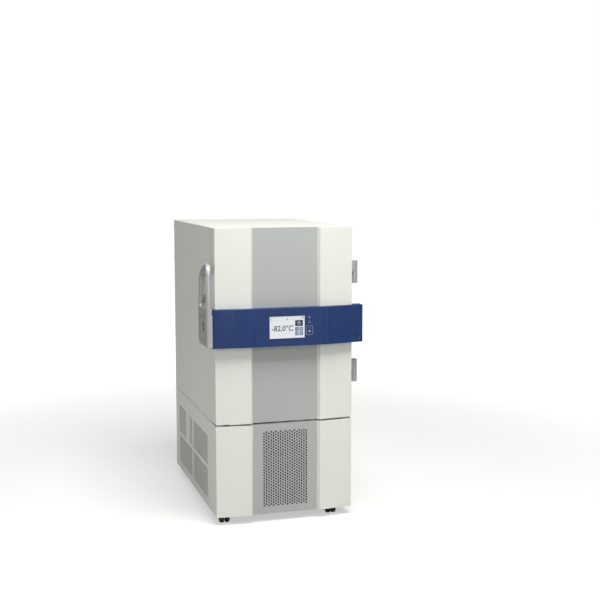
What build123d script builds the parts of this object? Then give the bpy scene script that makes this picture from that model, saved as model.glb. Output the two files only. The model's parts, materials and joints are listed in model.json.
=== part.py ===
from build123d import *
from math import cos, radians, sin
import os

# Upright ultra low temperature freezer. All sizes are in millimetres.
# While it is drawn, X runs from the left side to the right, Y from front to back and Z up from the floor,
# with X = 0 on the left side sheet and Y = 0 at the front corners of the door.
# Every piece is then moved so that the origin is on the floor, in the middle of the whole outline.

# Cabinet
body_width = 720.0
body_depth = 1108.0
body_height = 1465.0
ground_clearance = 42.0
plinth_height = 473.0          # machine compartment below the door
front_seam = 5.0               # half of the dark joint between door and lower cover
side_seam = 3.0
sheet = 1.5                    # painted steel sheet
seat = 0.3                     # clearance where a piece seats on its neighbour
past = 1.0                     # cuts run this far past the faces they open
corner_round = 4.0
few_sides = 8                  # sides of small hidden pins and tubes that repeat
round_sides = 32               # sides of larger round pieces that repeat

# Front profile shared by the door and the lower cover: two tilted wings and a recessed centre strip
wing_width = 178.0
wing_rise = 21.0               # inner edge of a wing, in front of the corners
chamfer_width = 13.0
centre_rise = 5.0              # face of the centre strip, in front of the corners
strip_thickness = 3.0

# Insulated walls and chamber
door_thickness = 88.0
door_gap = 4.0
side_insulation = 125.0
floor_insulation = 130.0
back_insulation = 170.0
liner_sheet = 1.5
coil_space = 12.0              # room for the evaporator tube between liner and foam
coil_tube_radius = 4.5
coil_pitch = 140.0
front_flange = 14.0
breaker_thickness = 3.0
plug_depth = 20.0              # step of the door that enters the chamber mouth
plug_margin = 8.0
plug_round = 5.0
door_liner_wall = 3.0
gasket_width = 22.0
gasket_offset = 26.0           # from the chamber mouth to the gasket's inner edge

# Inner doors and shelves
inner_door_setback = 28.0      # behind the cabinet's front face
inner_door_thickness = 28.0
inner_door_side_gap = 4.5
inner_door_split = 10.0
inner_door_round = 3.0
inner_door_border = 40.0       # plain border round the recessed panel
inner_door_recess = 2.0
stop_frame_width = 15.0
stop_frame_depth = 5.0
stop_gap = 0.8                 # lets the inner doors' rear corners swing past the stop frame
inner_pin_radius = 3.0
inner_pin_forward = 5.5        # pin centre in front of the inner door's face
inner_lug_half = 6.0
inner_lug_height = 20.0
inner_lug_inset = 22.0
inner_lug_forward = 4.0        # lug in front of the pin centre
inner_lug_root = 4.0           # lug let into the inner door
inner_bracket_height = 4.0
inner_bracket_half = 3.4
inner_bracket_gap = 0.5
inner_pin_stop = 4.0           # the pin ends this far inside its lug
pull_height = 80.0
pull_width = 26.0
pull_depth = 7.0
pull_wall = 3.0
pull_rim = 8.0
pull_inset = 8.0
shelf_lip = 15.0
shelf_side_gap = 0.5
shelf_end_gap = 2.0
clip_size = 8.0
clip_length = 16.0
clip_share = 0.12              # place of the first clip along the shelf, as a share of its depth
compartments = 4

# Outer door hinges on the right side
hinge_pin_x = 36.0             # pin centre outside the right side sheet
hinge_pin_y = 74.0
hinge_pin_radius = 6.0
knuckle_radius = 18.0
hinge_height = 117.0
upper_hinge_drop = 297.0       # lower end of the upper hinge, below the top
lower_hinge_rise = 172.0       # lower end of the lower hinge, above the door's lower edge
leaf_thickness = 6.0
leaf_length = 62.0
leaf_setback = 4.0             # door leaf, in front of the door's rear edge
cabinet_leaf_setback = 8.0     # cabinet leaf, behind the cabinet's front face
door_arm_front = 24.0          # arm of the door leaf, in front of the pin centre
door_arm_back = 8.0
cabinet_arm_length = 36.0
pin_end = 8.0                  # closed end of each knuckle
washer = 1.0
washer_radius = 11.0
running_fit = 0.05

# Control band across the door
band_drop = 593.0              # underside of the band, below the top
band_height = 192.0
band_left_overhang = 22.0
band_right_overhang = 52.0
band_front = 55.0              # flat middle of the band, in front of the corners
band_flat_side = 150.0         # the flat middle starts this far from each side sheet
band_left_front = 37.0
band_right_front = 22.0
band_end_depth = 38.0          # how far the right end reaches back past the corners
band_wall = 3.0
band_end_round = 8.0
groove_width = 1.2
groove_depth = 1.0
groove_pitch = 50.5
left_grooves = 3               # joint lines in the band, left and right of the screen
left_groove_x = 92.0           # the first of them
right_grooves = 2
right_groove_x = 552.5
grip_side = 80.0               # recess in the right end, from the side sheet
grip_depth = 4.0
grip_rise = 38.0               # above the band's underside
grip_height = 116.0
screen_offset = 2.5            # middle of the screen, left of the door's middle
screen_width = 183.0
screen_rise = 40.0             # above the band's underside
screen_height = 110.5
screen_module_depth = 16.0
screen_set = 0.2               # rim of the screen behind the band's face
screen_rim = 3.0
screen_bezel_step = 0.6

# Lever handle and lock housing on the left side
handle_reach = 52.0            # outer face, left of the side sheet
lever_thickness = 24.0
handle_front = 50.0            # front edge, in front of the corners
lever_pivot_y = -24.0
lever_pivot_rise = 182.0       # heights of the lever and its lock are above the band's underside
lever_pivot_round = 26.0
lever_pin_radius = 5.0
lever_top_rise = 420.0
lever_back = 159.0
lever_leg = 26.0
lever_heel_round = 9.0
lever_brow_round = 50.0        # front upper corner
lever_crown_round = 77.0       # wide round back of the top
lever_crown_y = 60.0
lever_crown_drop = 94.0        # centre of that round, below the top
lever_floor = 14.0             # solid part above the pivot
finger_low_round = 14.0
finger_low_y = 108.0
finger_brow_round = 32.0
finger_brow_drop = 72.0
finger_crown_round = 40.0
finger_crown_y = 66.0
lever_bore_wall = 6.0
handle_edge = 7.0              # bevel round the outer face of lever and housing
housing_rise = 4.0
housing_inner = 22.5           # inner face of the housing, left of the side sheet
housing_gap = 1.5              # joint between lever and housing
housing_heel_round = 35.0
housing_margin = 4.0
housing_foot_rise = 8.0
housing_tail_gap = 5.0         # tail clear of the side sheet
housing_tail_end = 14.0
housing_tail_rise = 30.0
ear_thickness = 5.0
ear_round = 14.0
ear_root = 10.0
lock_centre_y = 38.0
lock_rise = 103.0
lock_width = 36.0
lock_height = 46.0
lock_depth = 14.0
escutcheon_set = 1.0           # rim of the lock surround behind the housing's face
escutcheon_floor = 2.0
dish_border = 4.0
dish_depth = 4.0
cylinder_radius = 11.0
cylinder_set = 2.0
keyway_width = 2.4
keyway_length = 12.0
keyway_depth = 6.0
striker_y = 118.0
striker_rise = 208.0
striker_radius = 5.0
striker_reach = 24.0
striker_plate = 3.0
striker_plate_size = 48.0
striker_plate_round = 6.0
hook_thickness = 8.0
hook_height = 36.0
hook_tail = 32.0               # behind the striker
hook_shoulder = 8.0            # in front of the striker
hook_nose = 17.0
hook_nose_height = 16.0
hook_jaw = 2.0                 # jaw round the striker, wider than its pin
hook_lift = 1.5                # the hook stands this far above the striker

# Machine compartment
pan_height = 75.0              # underside of the base pan above the floor
pan_thickness = 3.0
pan_rim = 16.0
pan_rim_wall = 2.0
post_size = 40.0
post_wall = 2.5
cover_depth = 22.0             # side returns of the lower cover behind the corners
cover_window_margin = 14.0
grille_side = 241.5            # perforated field, from each side sheet
grille_bottom = 77.0
grille_height = 399.0
grille_hole = 30.0
grille_pitch = 38.0
window_front = 203.0
window_gap = 36.0              # plain post between the front and the rear windows
window_back = 103.0            # rear windows end this far from the back
window_low = 86.0
window_height = 158.0
window_step = 178.0
window_slots = 5
slot_web = 10.0
window_bar_inset = 70.0        # plain bar that divides the upper rear window
window_bar = 113.0
filter_thickness = 12.0
filter_margin = 12.0
filter_inset = 18.0
filter_border = 10.0
filter_mat_set = 4.0           # mat behind the faces of its frame
filter_clip = (16.0, 12.0)
condenser_side = 120.0         # from each side sheet
condenser_front = 66.0
condenser_depth = 84.0
condenser_height = 350.0
condenser_fins = 16
fin_thickness = 2.0
fin_setback = 6.0
condenser_frame = 10.0
condenser_tube_radius = 5.0
condenser_tube_gap = 1.5       # tubes clear of the fins
condenser_rows = 5
fan_radius = 130.0
fan_hub_radius = 34.0
fan_blades = 5
fan_depth = 34.0
fan_end_gap = 4.0              # rotor inside the ends of its ring
fan_tip_gap = 5.0
blade_width = 58.0
blade_thickness = 3.0
blade_tilt = 28.0
blade_root = 10.0              # blades let into the hub
shroud_wall = 2.0
shroud_depth = 30.0
motor_radius = 42.0
motor_length = 58.0
motor_gap = 2.0                # motor behind the shroud's ring
shaft_radius = 6.0
shaft_end = 6.0                # closed end of the hub
motor_arm = 12.0
motor_arm_thickness = 4.0
motor_arm_root = 4.0
compressor_radius = 92.0
compressor_height = 250.0
compressor_dome = 40.0         # sloping shoulder below the flat top
compressor_dome_slope = 40.0   # degrees from upright
weld_height = 12.0
weld_step = 6.0                # weld flange stands out from the pot
weld_z = 112.0
terminal_width = 52.0
terminal_height = 60.0
terminal_rise = 14.0
terminal_reach = 16.0
terminal_root = 20.0
compressor_back = 308.0        # middle of the compressors, from the back
compressor_pitch = 280.0
compressor_shift = 30.0        # middle of the pair, left of the cabinet's middle
foot_height = 12.0
foot_radius = 14.0
foot_offset = 74.0
base_plate_half = 92.0
base_plate_thickness = 3.0
pipe_radius = 5.0
pipe_rise = 46.0               # pipes above the compressors
interstage_offset = 60.0       # riser, left of the second compressor
interstage_back = 150.0
discharge_forward = 320.0
discharge_side = 30.0          # right of the condenser
discharge_front = 42.0
discharge_drop = 60.0
control_side = 18.0            # from the right side sheet
control_width = 92.0
control_front = 340.0
control_depth = 260.0
control_height = 230.0
control_round = 4.0
lid_border = 8.0
lid_thickness = 2.0
inlet_side = 160.0             # from the right side sheet
inlet_z = 150.0
inlet_width = 48.0
inlet_height = 32.0
inlet_depth = 26.0
inlet_flange = 2.0
inlet_flange_side = 8.0
inlet_flange_edge = 4.0
inlet_wall_side = 10.0
inlet_wall_edge = 6.0
inlet_socket_depth = 18.0
blade_contact_pitch = 9.0
blade_contact_size = (2.0, 14.0, 8.0)
rear_slots = 9
rear_slot_pitch = 30.0
rear_slot_size = (360.0, 12.0)
rear_slot_x = 260.0
rear_slot_z = 196.0

# Access port through the rear wall
port_side = 125.0              # from the chamber's right wall
port_drop = 202.0              # below the chamber's ceiling
port_bore = 12.0
port_wall = 2.0
port_flange_radius = 24.0
port_flange = 4.0
port_cap = 8.0
port_cap_border = 2.0          # cap smaller than the flange
port_plug_length = 60.0

# Castors
castor_left = 50.0             # swivel axis from the left side sheet
castor_right = 98.0            # swivel axis from the right side sheet
castor_front_y = 70.0
castor_back = 102.0            # swivel axis of the rear castors, from the back
castor_trail = 18.0
wheel_radius = 25.0
wheel_width = 22.0
wheel_spacing = 30.0
axle_radius = 4.0
axle_inset = 1.0               # axle ends inside the wheels' faces
hub_radius = 9.0
castor_plate = 78.0
castor_plate_thickness = 3.0
swivel_radius = 22.0
swivel_height = 9.7
kingpin_radius = 6.0
web_half = 3.5
web_head = 34.0
web_head_height = 2.0
pedal_height = 4.0
pedal_reach = 40.0
pedal_half = 16.0
pedal_bar = 7.0
pedal_arm_gap = 0.7
pedal_pin_radius = 2.0
pedal_pin_z = 57.0
pedal_pin_y = 2.0

# Places that follow from the sizes above
bottom_z = ground_clearance
seam_z = bottom_z + plinth_height
top_z = bottom_z + body_height
door_bottom = seam_z + front_seam
cover_top = seam_z - front_seam
panel_top = seam_z - side_seam
cabinet_front = door_thickness + door_gap
strip_left = wing_width + chamfer_width
strip_right = body_width - strip_left
chamber_x = (side_insulation, body_width - side_insulation)
chamber_y = (cabinet_front + breaker_thickness, body_depth - back_insulation)
chamber_z = (seam_z + floor_insulation, top_z - side_insulation)
mouth_x = (chamber_x[0] + liner_sheet, chamber_x[1] - liner_sheet)
mouth_z = (chamber_z[0] + liner_sheet, chamber_z[1] - liner_sheet)
inner_door_y = (cabinet_front + inner_door_setback, cabinet_front + inner_door_setback + inner_door_thickness)
inner_door_x = (mouth_x[0] + inner_door_side_gap, mouth_x[1] - inner_door_side_gap)
stop_y = (inner_door_y[1] + stop_gap, inner_door_y[1] + stop_gap + stop_frame_depth)
middle_z = (mouth_z[0] + mouth_z[1]) / 2
inner_pin = (inner_door_x[1] - inner_lug_half, inner_door_y[0] - inner_pin_forward)
hinge_pin = (body_width + hinge_pin_x, hinge_pin_y)
lower_hinge_z = door_bottom + lower_hinge_rise
upper_hinge_z = top_z - upper_hinge_drop
band_bottom = top_z - band_drop
band_z = (band_bottom, band_bottom + band_height)
band_flat_end = body_width - band_flat_side
grip_start = body_width - grip_side
grip_bottom = band_bottom + grip_rise
screen_left = (body_width - screen_width) / 2 - screen_offset
screen_bottom = band_bottom + screen_rise
lever_pivot_z = band_bottom + lever_pivot_rise
lever_top = band_bottom + lever_top_rise
housing_bottom = band_bottom + housing_rise
lock_centre_z = band_bottom + lock_rise
striker_z = band_bottom + striker_rise
housing_top = lever_pivot_z - lever_pivot_round - housing_gap
pan_z = (pan_height, pan_height + pan_thickness)
frame_x = (sheet + seat, body_width - sheet - seat)
frame_y = (cover_depth + seat, body_depth - sheet - seat)
window_length = (body_depth - window_front - window_gap - window_back) / 2
window_rear = window_front + window_length + window_gap
window_bar_start = window_rear + window_bar_inset
window_bar_end = window_bar_start + window_bar
grille_width = body_width - 2 * grille_side
condenser_width = body_width - 2 * condenser_side
compressor_y = body_depth - compressor_back
first_compressor_x = (body_width - compressor_pitch) / 2 - compressor_shift
second_compressor_x = first_compressor_x + compressor_pitch
control_left = body_width - control_side - control_width
inlet_x = body_width - inlet_side
port_x = chamber_x[1] - port_side
port_z = chamber_z[1] - port_drop
castor_rear_y = body_depth - castor_back
back_y = body_depth + port_flange + seat + port_cap
right_reach = max(band_right_overhang, hinge_pin_x + knuckle_radius)
origin_x = (body_width + right_reach - handle_reach) / 2
origin_y = (back_y - band_front) / 2


def block(x, y, z):
    place = Pos((x[0] + x[1]) / 2, (y[0] + y[1]) / 2, (z[0] + z[1]) / 2)
    return place * Box(x[1] - x[0], y[1] - y[0], z[1] - z[0])


def upright(sketch, z):
    return Pos(0, 0, z[0]) * extrude(sketch, amount=z[1] - z[0])


def sideways(sketch, x):
    return Pos(x[0], 0, 0) * extrude(Plane.YZ * sketch, amount=x[1] - x[0])


def facing(sketch, y):
    return Pos(0, y[1], 0) * extrude(Plane.XZ * sketch, amount=y[1] - y[0])


def rod_x(radius, x, y, z):
    return sideways(Pos(y, z) * Circle(radius), x)


def rod_y(radius, x, y, z):
    return facing(Pos(x, z) * Circle(radius), y)


def rod_z(radius, x, y, z):
    return upright(Pos(x, y) * Circle(radius), z)


def prism_x(radius, x, y, z, sides):
    return sideways(Pos(y, z) * RegularPolygon(radius, sides), x)


def prism_z(radius, x, y, z, sides):
    return upright(Pos(x, y) * RegularPolygon(radius, sides), z)


def inward(span, amount):
    return (span[0] + amount, span[1] - amount)


def wider(span):
    return (span[0] - past, span[1] + past)


def sharp_plan(depth):
    """Plan of the door or lower cover, from its winged front back to the given depth."""
    left = [(0, 0), (wing_width, -wing_rise), (strip_left, -centre_rise)]
    left.append((strip_left, strip_thickness - centre_rise))
    right = [(body_width - x, y) for x, y in reversed(left)]
    return Polygon(*left, *right, (body_width, depth), (0, depth), align=None)


def front_plan(depth):
    """The same plan with its two front corners rounded."""
    plan = sharp_plan(depth)
    return fillet(plan.vertices().filter_by_position(Axis.Y, -0.01, 0.01), corner_round)


def hollow_plan(depth, wall):
    """The space inside a front_plan wall, open at the back."""
    inside = offset(front_plan(depth), amount=-wall, kind=Kind.INTERSECTION)
    strip_y = depth - 2 * wall
    opening = Pos(body_width / 2, (strip_y + depth) / 2) * Rectangle(body_width - 2 * wall, depth - strip_y)
    return inside + opening


# Cabinet

def cabinet_shell():
    outer = block((0, body_width), (cabinet_front, body_depth), (seam_z, top_z))
    inside_x = (sheet, body_width - sheet)
    inside = block(inside_x, (cabinet_front + sheet, body_depth - sheet), inward((seam_z, top_z), sheet))
    mouth = block(
        inward((0, body_width), front_flange),
        (cabinet_front - past, cabinet_front + 2 * sheet),
        inward((seam_z, top_z), front_flange),
    )
    port = rod_y(port_bore + port_wall + seat, port_x, (body_depth - 2 * sheet, body_depth + past), port_z)
    upper_edges = outer.edges().filter_by(Axis.X).group_by(Axis.Z)[-1].sort_by(Axis.Y)
    outer = fillet(upper_edges[-1], corner_round)
    return outer - inside - mouth - port


def breaker_frame():
    outer = block(
        inward((0, body_width), front_flange + seat),
        (cabinet_front, cabinet_front + breaker_thickness),
        inward((seam_z, top_z), front_flange + seat),
    )
    return outer - block(mouth_x, wider((cabinet_front, chamber_y[0])), mouth_z)


def coil_levels():
    """Heights of the evaporator's turns, evenly spaced about the middle of the chamber."""
    turns = int((chamber_z[1] - chamber_z[0]) // coil_pitch)
    first = (chamber_z[0] + chamber_z[1] - coil_pitch * (turns - 1)) / 2
    return [first + coil_pitch * turn for turn in range(turns)]


def coil_corners():
    """Left, right, front and back of the evaporator's route round the liner."""
    away = coil_tube_radius + seat
    return chamber_x[0] - away, chamber_x[1] + away, chamber_y[0] + coil_space, chamber_y[1] + away


def cabinet_foam():
    """Insulation round the liner, with grooves for the evaporator tube."""
    front = chamber_y[0]
    outer = block((sheet, body_width - sheet), (front, body_depth - sheet), inward((seam_z, top_z), sheet))
    foam = outer - block(chamber_x, (front - past, chamber_y[1]), chamber_z)
    foam -= rod_y(port_bore + port_wall + seat, port_x, (chamber_y[1] - past, body_depth), port_z)
    left, right, coil_front, back = coil_corners()
    half = coil_tube_radius + seat
    levels = coil_levels()
    for level in levels:
        groove_y = (coil_front - half, back + half)
        foam -= block((left - half, right + half), groove_y, (level - half, level + half))
    for turn, (low, high) in enumerate(zip(levels, levels[1:])):
        riser = right if turn % 2 else left
        riser_x = (riser - half, riser + half)
        foam -= block(riser_x, (coil_front - half, coil_front + half), (low, high))
    return foam


def cabinet_liner():
    outer = block(chamber_x, chamber_y, chamber_z)
    inside = block(mouth_x, (chamber_y[0] - past, chamber_y[1] - liner_sheet), mouth_z)
    wall_y = (chamber_y[1] - liner_sheet, chamber_y[1])
    port = rod_y(port_bore + port_wall + seat, port_x, wider(wall_y), port_z)
    return outer - inside - port


def evaporator_coil():
    """One tube that runs back and forth round the sides and back of the liner."""
    left, right, front, back = coil_corners()
    route = []
    for turn, level in enumerate(coil_levels()):
        run = [(right, front, level), (right, back, level), (left, back, level), (left, front, level)]
        route += run if turn % 2 == 0 else run[::-1]
    section = Plane(origin=route[0], z_dir=(0, 1, 0)) * RegularPolygon(coil_tube_radius, few_sides)
    return sweep(section, path=Polyline(*route), transition=Transition.RIGHT)


def shelf_levels():
    step = (mouth_z[1] - mouth_z[0]) / compartments
    return [mouth_z[0] + step * n for n in range(1, compartments)]


def shelves():
    solids = []
    shelf_x = inward(mouth_x, shelf_side_gap)
    shelf_y = inward((stop_y[1], chamber_y[1] - liner_sheet), shelf_end_gap)
    for level in shelf_levels():
        outer = block(shelf_x, shelf_y, (level - shelf_lip, level))
        under_z = (level - shelf_lip - past, level - sheet)
        under = block(wider(shelf_x), inward(shelf_y, sheet), under_z)
        solids.append(outer - under)
    return Compound(solids)


def shelf_clips():
    solids = []
    for level in shelf_levels():
        for share in (clip_share, 1 - clip_share):
            y = stop_y[1] + share * (chamber_y[1] - stop_y[1])
            for x in ((mouth_x[0], mouth_x[0] + clip_size), (mouth_x[1] - clip_size, mouth_x[1])):
                clip_y = (y - clip_length / 2, y + clip_length / 2)
                solids.append(block(x, clip_y, (level - sheet - clip_size, level - sheet)))
    return Compound(solids)


def stop_frame():
    """Fixed frame that both inner doors close against."""
    outer = block(inward(mouth_x, seat), stop_y, inward(mouth_z, seat))
    half = stop_frame_width / 2
    lower_z = (mouth_z[0] + stop_frame_width, middle_z - half)
    upper_z = (middle_z + half, mouth_z[1] - stop_frame_width)
    for z in (lower_z, upper_z):
        outer -= block(inward(mouth_x, stop_frame_width), wider(stop_y), z)
    return outer


def inner_door_z(upper):
    edge = inner_door_side_gap
    half = inner_door_split / 2
    return (middle_z + half, mouth_z[1] - edge) if upper else (mouth_z[0] + edge, middle_z - half)


def inner_lug_z(upper):
    z = inner_door_z(upper)
    low = z[0] + inner_lug_inset
    high = z[1] - inner_lug_inset
    return (low, low + inner_lug_height), (high - inner_lug_height, high)


def inner_door(upper):
    z = inner_door_z(upper)
    face = inner_door_y[0]
    slab = block(inner_door_x, inner_door_y, z)
    slab = chamfer(slab.edges().group_by(Axis.Y)[0], inner_door_round)
    panel_x = inward(inner_door_x, inner_door_border)
    slab -= block(panel_x, (face - past, face + inner_door_recess), inward(z, inner_door_border))
    pin_x, pin_y = inner_pin
    lug_x = (pin_x - inner_lug_half, pin_x + inner_lug_half)
    for lug_z in inner_lug_z(upper):
        lug = block(lug_x, (pin_y - inner_lug_forward, face + inner_lug_root), lug_z)
        slab = slab + lug - rod_z(inner_pin_radius + running_fit, pin_x, pin_y, wider(lug_z))
    return slab + inner_door_pull(upper)


def inner_door_pull(upper):
    """Moulded pull near the free edge of an inner door."""
    z = inner_door_z(upper)
    mid = (z[0] + z[1]) / 2
    face = inner_door_y[0]
    pull_z = (mid - pull_height / 2, mid + pull_height / 2)
    left = inner_door_x[0] + pull_inset
    outer = block((left, left + pull_width), (face - pull_depth, face), pull_z)
    hollow_x = (left + pull_rim, left + pull_width + past)
    return outer - block(hollow_x, (face - pull_depth + pull_wall, face + past), inward(pull_z, pull_wall))


def inner_hinge_brackets():
    """Pins in small brackets on the liner's right wall, under each lower lug and over each upper lug."""
    solids = []
    pin_x, pin_y = inner_pin
    tab_y = (pin_y - inner_bracket_half, pin_y + inner_bracket_half)
    for upper in (False, True):
        low, high = inner_lug_z(upper)
        under = (low[0] - inner_bracket_gap - inner_bracket_height, low[0] - inner_bracket_gap)
        over = (high[1] + inner_bracket_gap, high[1] + inner_bracket_gap + inner_bracket_height)
        lower_pin = (under[0], low[1] - inner_pin_stop)
        upper_pin = (high[0] + inner_pin_stop, over[1])
        for tab_z, pin_z in ((under, lower_pin), (over, upper_pin)):
            tab = block((pin_x - inner_bracket_half, mouth_x[1]), tab_y, tab_z)
            solids.append(tab + prism_z(inner_pin_radius, pin_x, pin_y, pin_z, few_sides))
    return Compound(solids)


def port_sleeve():
    outside = body_depth
    tube_y = (chamber_y[1] - liner_sheet, outside + port_flange)
    tube = rod_y(port_bore + port_wall, port_x, tube_y, port_z)
    rim = rod_y(port_flange_radius, port_x, (outside, outside + port_flange), port_z)
    return tube + rim - rod_y(port_bore, port_x, wider(tube_y), port_z)


def port_plug():
    face = body_depth + port_flange + seat
    cap = rod_y(port_flange_radius - port_cap_border, port_x, (face, face + port_cap), port_z)
    return cap + rod_y(port_bore - running_fit, port_x, (face - port_plug_length, face), port_z)


# Outer door

def door_shell():
    z = (door_bottom, top_z)
    outer = upright(front_plan(door_thickness), z)
    shell = outer - upright(hollow_plan(door_thickness, sheet), inward(z, sheet))
    return shell


def door_centre_strip():
    strip_x = inward((strip_left, strip_right), seat)
    return block(strip_x, (-centre_rise, strip_thickness - centre_rise), (door_bottom, top_z))


def plug_x():
    return inward(mouth_x, plug_margin)


def plug_z():
    return inward(mouth_z, plug_margin)


def door_liner():
    back = door_thickness
    z = inward((door_bottom, top_z), sheet)
    plate = block((sheet, body_width - sheet), (back - door_liner_wall, back), z)
    step = block(plug_x(), (back - door_liner_wall, back + plug_depth), plug_z())
    step = chamfer(step.edges().group_by(Axis.Y)[-1], plug_round)
    hollow_y = (back - door_liner_wall - past, back + plug_depth - door_liner_wall)
    hollow = block(inward(plug_x(), door_liner_wall), hollow_y, inward(plug_z(), door_liner_wall))
    return plate + step - hollow


def door_foam():
    back = door_thickness - door_liner_wall
    core = upright(hollow_plan(door_thickness, sheet), inward((door_bottom, top_z), sheet))
    core -= block(wider((0, body_width)), wider((back + past, door_thickness)), wider((door_bottom, top_z)))
    end = door_thickness + plug_depth - door_liner_wall
    filler = block(inward(plug_x(), door_liner_wall), (back - past, end), inward(plug_z(), door_liner_wall))
    return core + filler


def door_gasket():
    reach = gasket_offset + gasket_width
    y = (door_thickness, cabinet_front - seat)
    outer = block(inward(mouth_x, -reach), y, inward(mouth_z, -reach))
    return outer - block(inward(mouth_x, -gasket_offset), wider(y), inward(mouth_z, -gasket_offset))


def hinge_arm(y_root, leaf_y, z):
    """Arm from a leaf on the side sheet out to the knuckle round the pin."""
    pin_x, pin_y = hinge_pin
    root = Polygon(
        (body_width + leaf_thickness - past, y_root[0]),
        (pin_x, pin_y - knuckle_radius),
        (pin_x, pin_y + knuckle_radius),
        (body_width + leaf_thickness - past, y_root[1]),
        align=None,
    )
    knuckle = Pos(pin_x, pin_y) * Circle(knuckle_radius)
    leaf = block((body_width + seat, body_width + leaf_thickness), leaf_y, z)
    return leaf + upright(root + knuckle, z)


def door_hinge_leaves():
    solids = []
    pin_x, pin_y = hinge_pin
    half = hinge_height / 2
    for base in (lower_hinge_z, upper_hinge_z):
        z = (base + half + washer / 2, base + hinge_height)
        leaf_end = door_thickness - leaf_setback
        arm_y = (pin_y - door_arm_front, pin_y + door_arm_back)
        leaf = hinge_arm(arm_y, (leaf_end - leaf_length, leaf_end), z)
        bore_z = (z[0] - past, z[1] - pin_end)
        solids.append(leaf - rod_z(hinge_pin_radius + running_fit, pin_x, pin_y, bore_z))
    return Compound(solids)


def cabinet_hinge_leaves():
    solids = []
    pin_x, pin_y = hinge_pin
    half = hinge_height / 2
    for base in (lower_hinge_z, upper_hinge_z):
        z = (base, base + half - washer / 2)
        leaf_start = cabinet_front + cabinet_leaf_setback
        arm_y = (leaf_start, leaf_start + cabinet_arm_length)
        leaf = hinge_arm(arm_y, (leaf_start, leaf_start + leaf_length), z)
        solids.append(leaf - rod_z(hinge_pin_radius, pin_x, pin_y, (z[0] + pin_end, z[1] + past)))
    return Compound(solids)


def hinge_pins():
    solids = []
    pin_x, pin_y = hinge_pin
    half = hinge_height / 2
    for base in (lower_hinge_z, upper_hinge_z):
        pin = rod_z(hinge_pin_radius, pin_x, pin_y, (base + pin_end, base + hinge_height - pin_end - seat))
        collar_z = (base + half - washer / 2, base + half + washer / 2 - running_fit)
        collar = prism_z(washer_radius, pin_x, pin_y, collar_z, few_sides)
        solids.append(pin + collar)
    return Compound(solids)


def band_front_line(wall):
    """Front face of the control band, set back by a wall, from its left end to its right end."""
    return [
        (-band_left_overhang + wall, -band_left_front + wall),
        (band_flat_side, -band_front + wall),
        (band_flat_end, -band_front + wall),
        (body_width + band_right_overhang - wall, -band_right_front + wall),
    ]


def band_face_y(x):
    """Depth of the band's front face at a place across the door."""
    if x < band_flat_side:
        slope = (band_front - band_left_front) / (band_flat_side + band_left_overhang)
        return -band_front + slope * (band_flat_side - x)
    slope = (band_front - band_right_front) / (body_width + band_right_overhang - band_flat_end)
    return -band_front + slope * max(0, x - band_flat_end)


def control_band():
    right = body_width + band_right_overhang
    side = body_width + seat
    back = [(right, band_end_depth), (side, band_end_depth), (side, 0), (-band_left_overhang, 0)]
    plan = Polygon(*band_front_line(0), *back, align=None)
    ends = [v for v in plan.vertices() if v.Y < 0 and (v.X < 0 or v.X > body_width)]
    band = upright(fillet(ends, band_end_round), band_z)
    open_y = band_end_depth + past
    inside_back = [(right - band_wall, open_y), (-band_left_overhang + band_wall, open_y)]
    room = upright(Polygon(*band_front_line(band_wall), *inside_back, align=None), inward(band_z, band_wall))
    strip = Pos(body_width / 2, 0) * Rectangle(strip_right - strip_left, 2 * centre_rise)
    door = Pos(0, -seat) * (sharp_plan(door_thickness) + strip)
    band = band - room - upright(door, wider(band_z))
    window_x = (screen_left - seat, screen_left + screen_width + seat)
    window_z = (screen_bottom - seat, screen_bottom + screen_height + seat)
    band -= block(window_x, (-band_front - past, -band_front + 2 * band_wall), window_z)
    grooves = [left_groove_x + n * groove_pitch for n in range(left_grooves)]
    grooves += [right_groove_x + n * groove_pitch for n in range(right_grooves)]
    for x in grooves:
        groove_y = (-band_front - past, band_face_y(x) + groove_depth)
        band -= block((x, x + groove_width), groove_y, wider(band_z))
    start_y = band_face_y(grip_start)
    end_y = -band_right_front + grip_depth
    grip = Polygon((grip_start, start_y), (right + past, end_y), (right + past, start_y - past), align=None)
    grip_z = (grip_bottom, grip_bottom + grip_height)
    end = block((right - groove_depth, right + past), (-band_front, open_y), grip_z)
    return band - upright(grip, grip_z) - end


def touch_screen():
    x = (screen_left, screen_left + screen_width)
    z = (screen_bottom, screen_bottom + screen_height)
    face = -band_front + screen_set
    module = block(x, (face, -band_front + screen_module_depth), z)
    glass_y = (face - past, face + screen_bezel_step)
    return module - block(inward(x, screen_rim), glass_y, inward(z, screen_rim))


# Lever handle and lock

def lever_outline():
    pivot = Pos(lever_pivot_y, lever_pivot_z) * Circle(lever_pivot_round)
    heel_z = lever_pivot_z - lever_pivot_round + lever_heel_round
    heel = Pos(lever_back - lever_heel_round, heel_z) * Circle(lever_heel_round)
    brow = Pos(-handle_front + lever_brow_round, lever_top - lever_brow_round) * Circle(lever_brow_round)
    crown = Pos(lever_crown_y, lever_top - lever_crown_drop) * Circle(lever_crown_round)
    return make_hull((pivot + heel + brow + crown).edges())


def lever_opening():
    front = -handle_front + lever_leg
    low = lever_pivot_z + lever_floor + finger_low_round
    low_front = Pos(front + finger_low_round, low) * Circle(finger_low_round)
    low_rear = Pos(finger_low_y, low) * Circle(finger_low_round)
    high_front = Pos(front + finger_brow_round, lever_top - finger_brow_drop) * Circle(finger_brow_round)
    high_rear = Pos(finger_crown_y, lever_top - lever_crown_drop) * Circle(finger_crown_round)
    return make_hull((low_front + low_rear + high_front + high_rear).edges())


def lever_x():
    return (-handle_reach, -handle_reach + lever_thickness)


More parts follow.
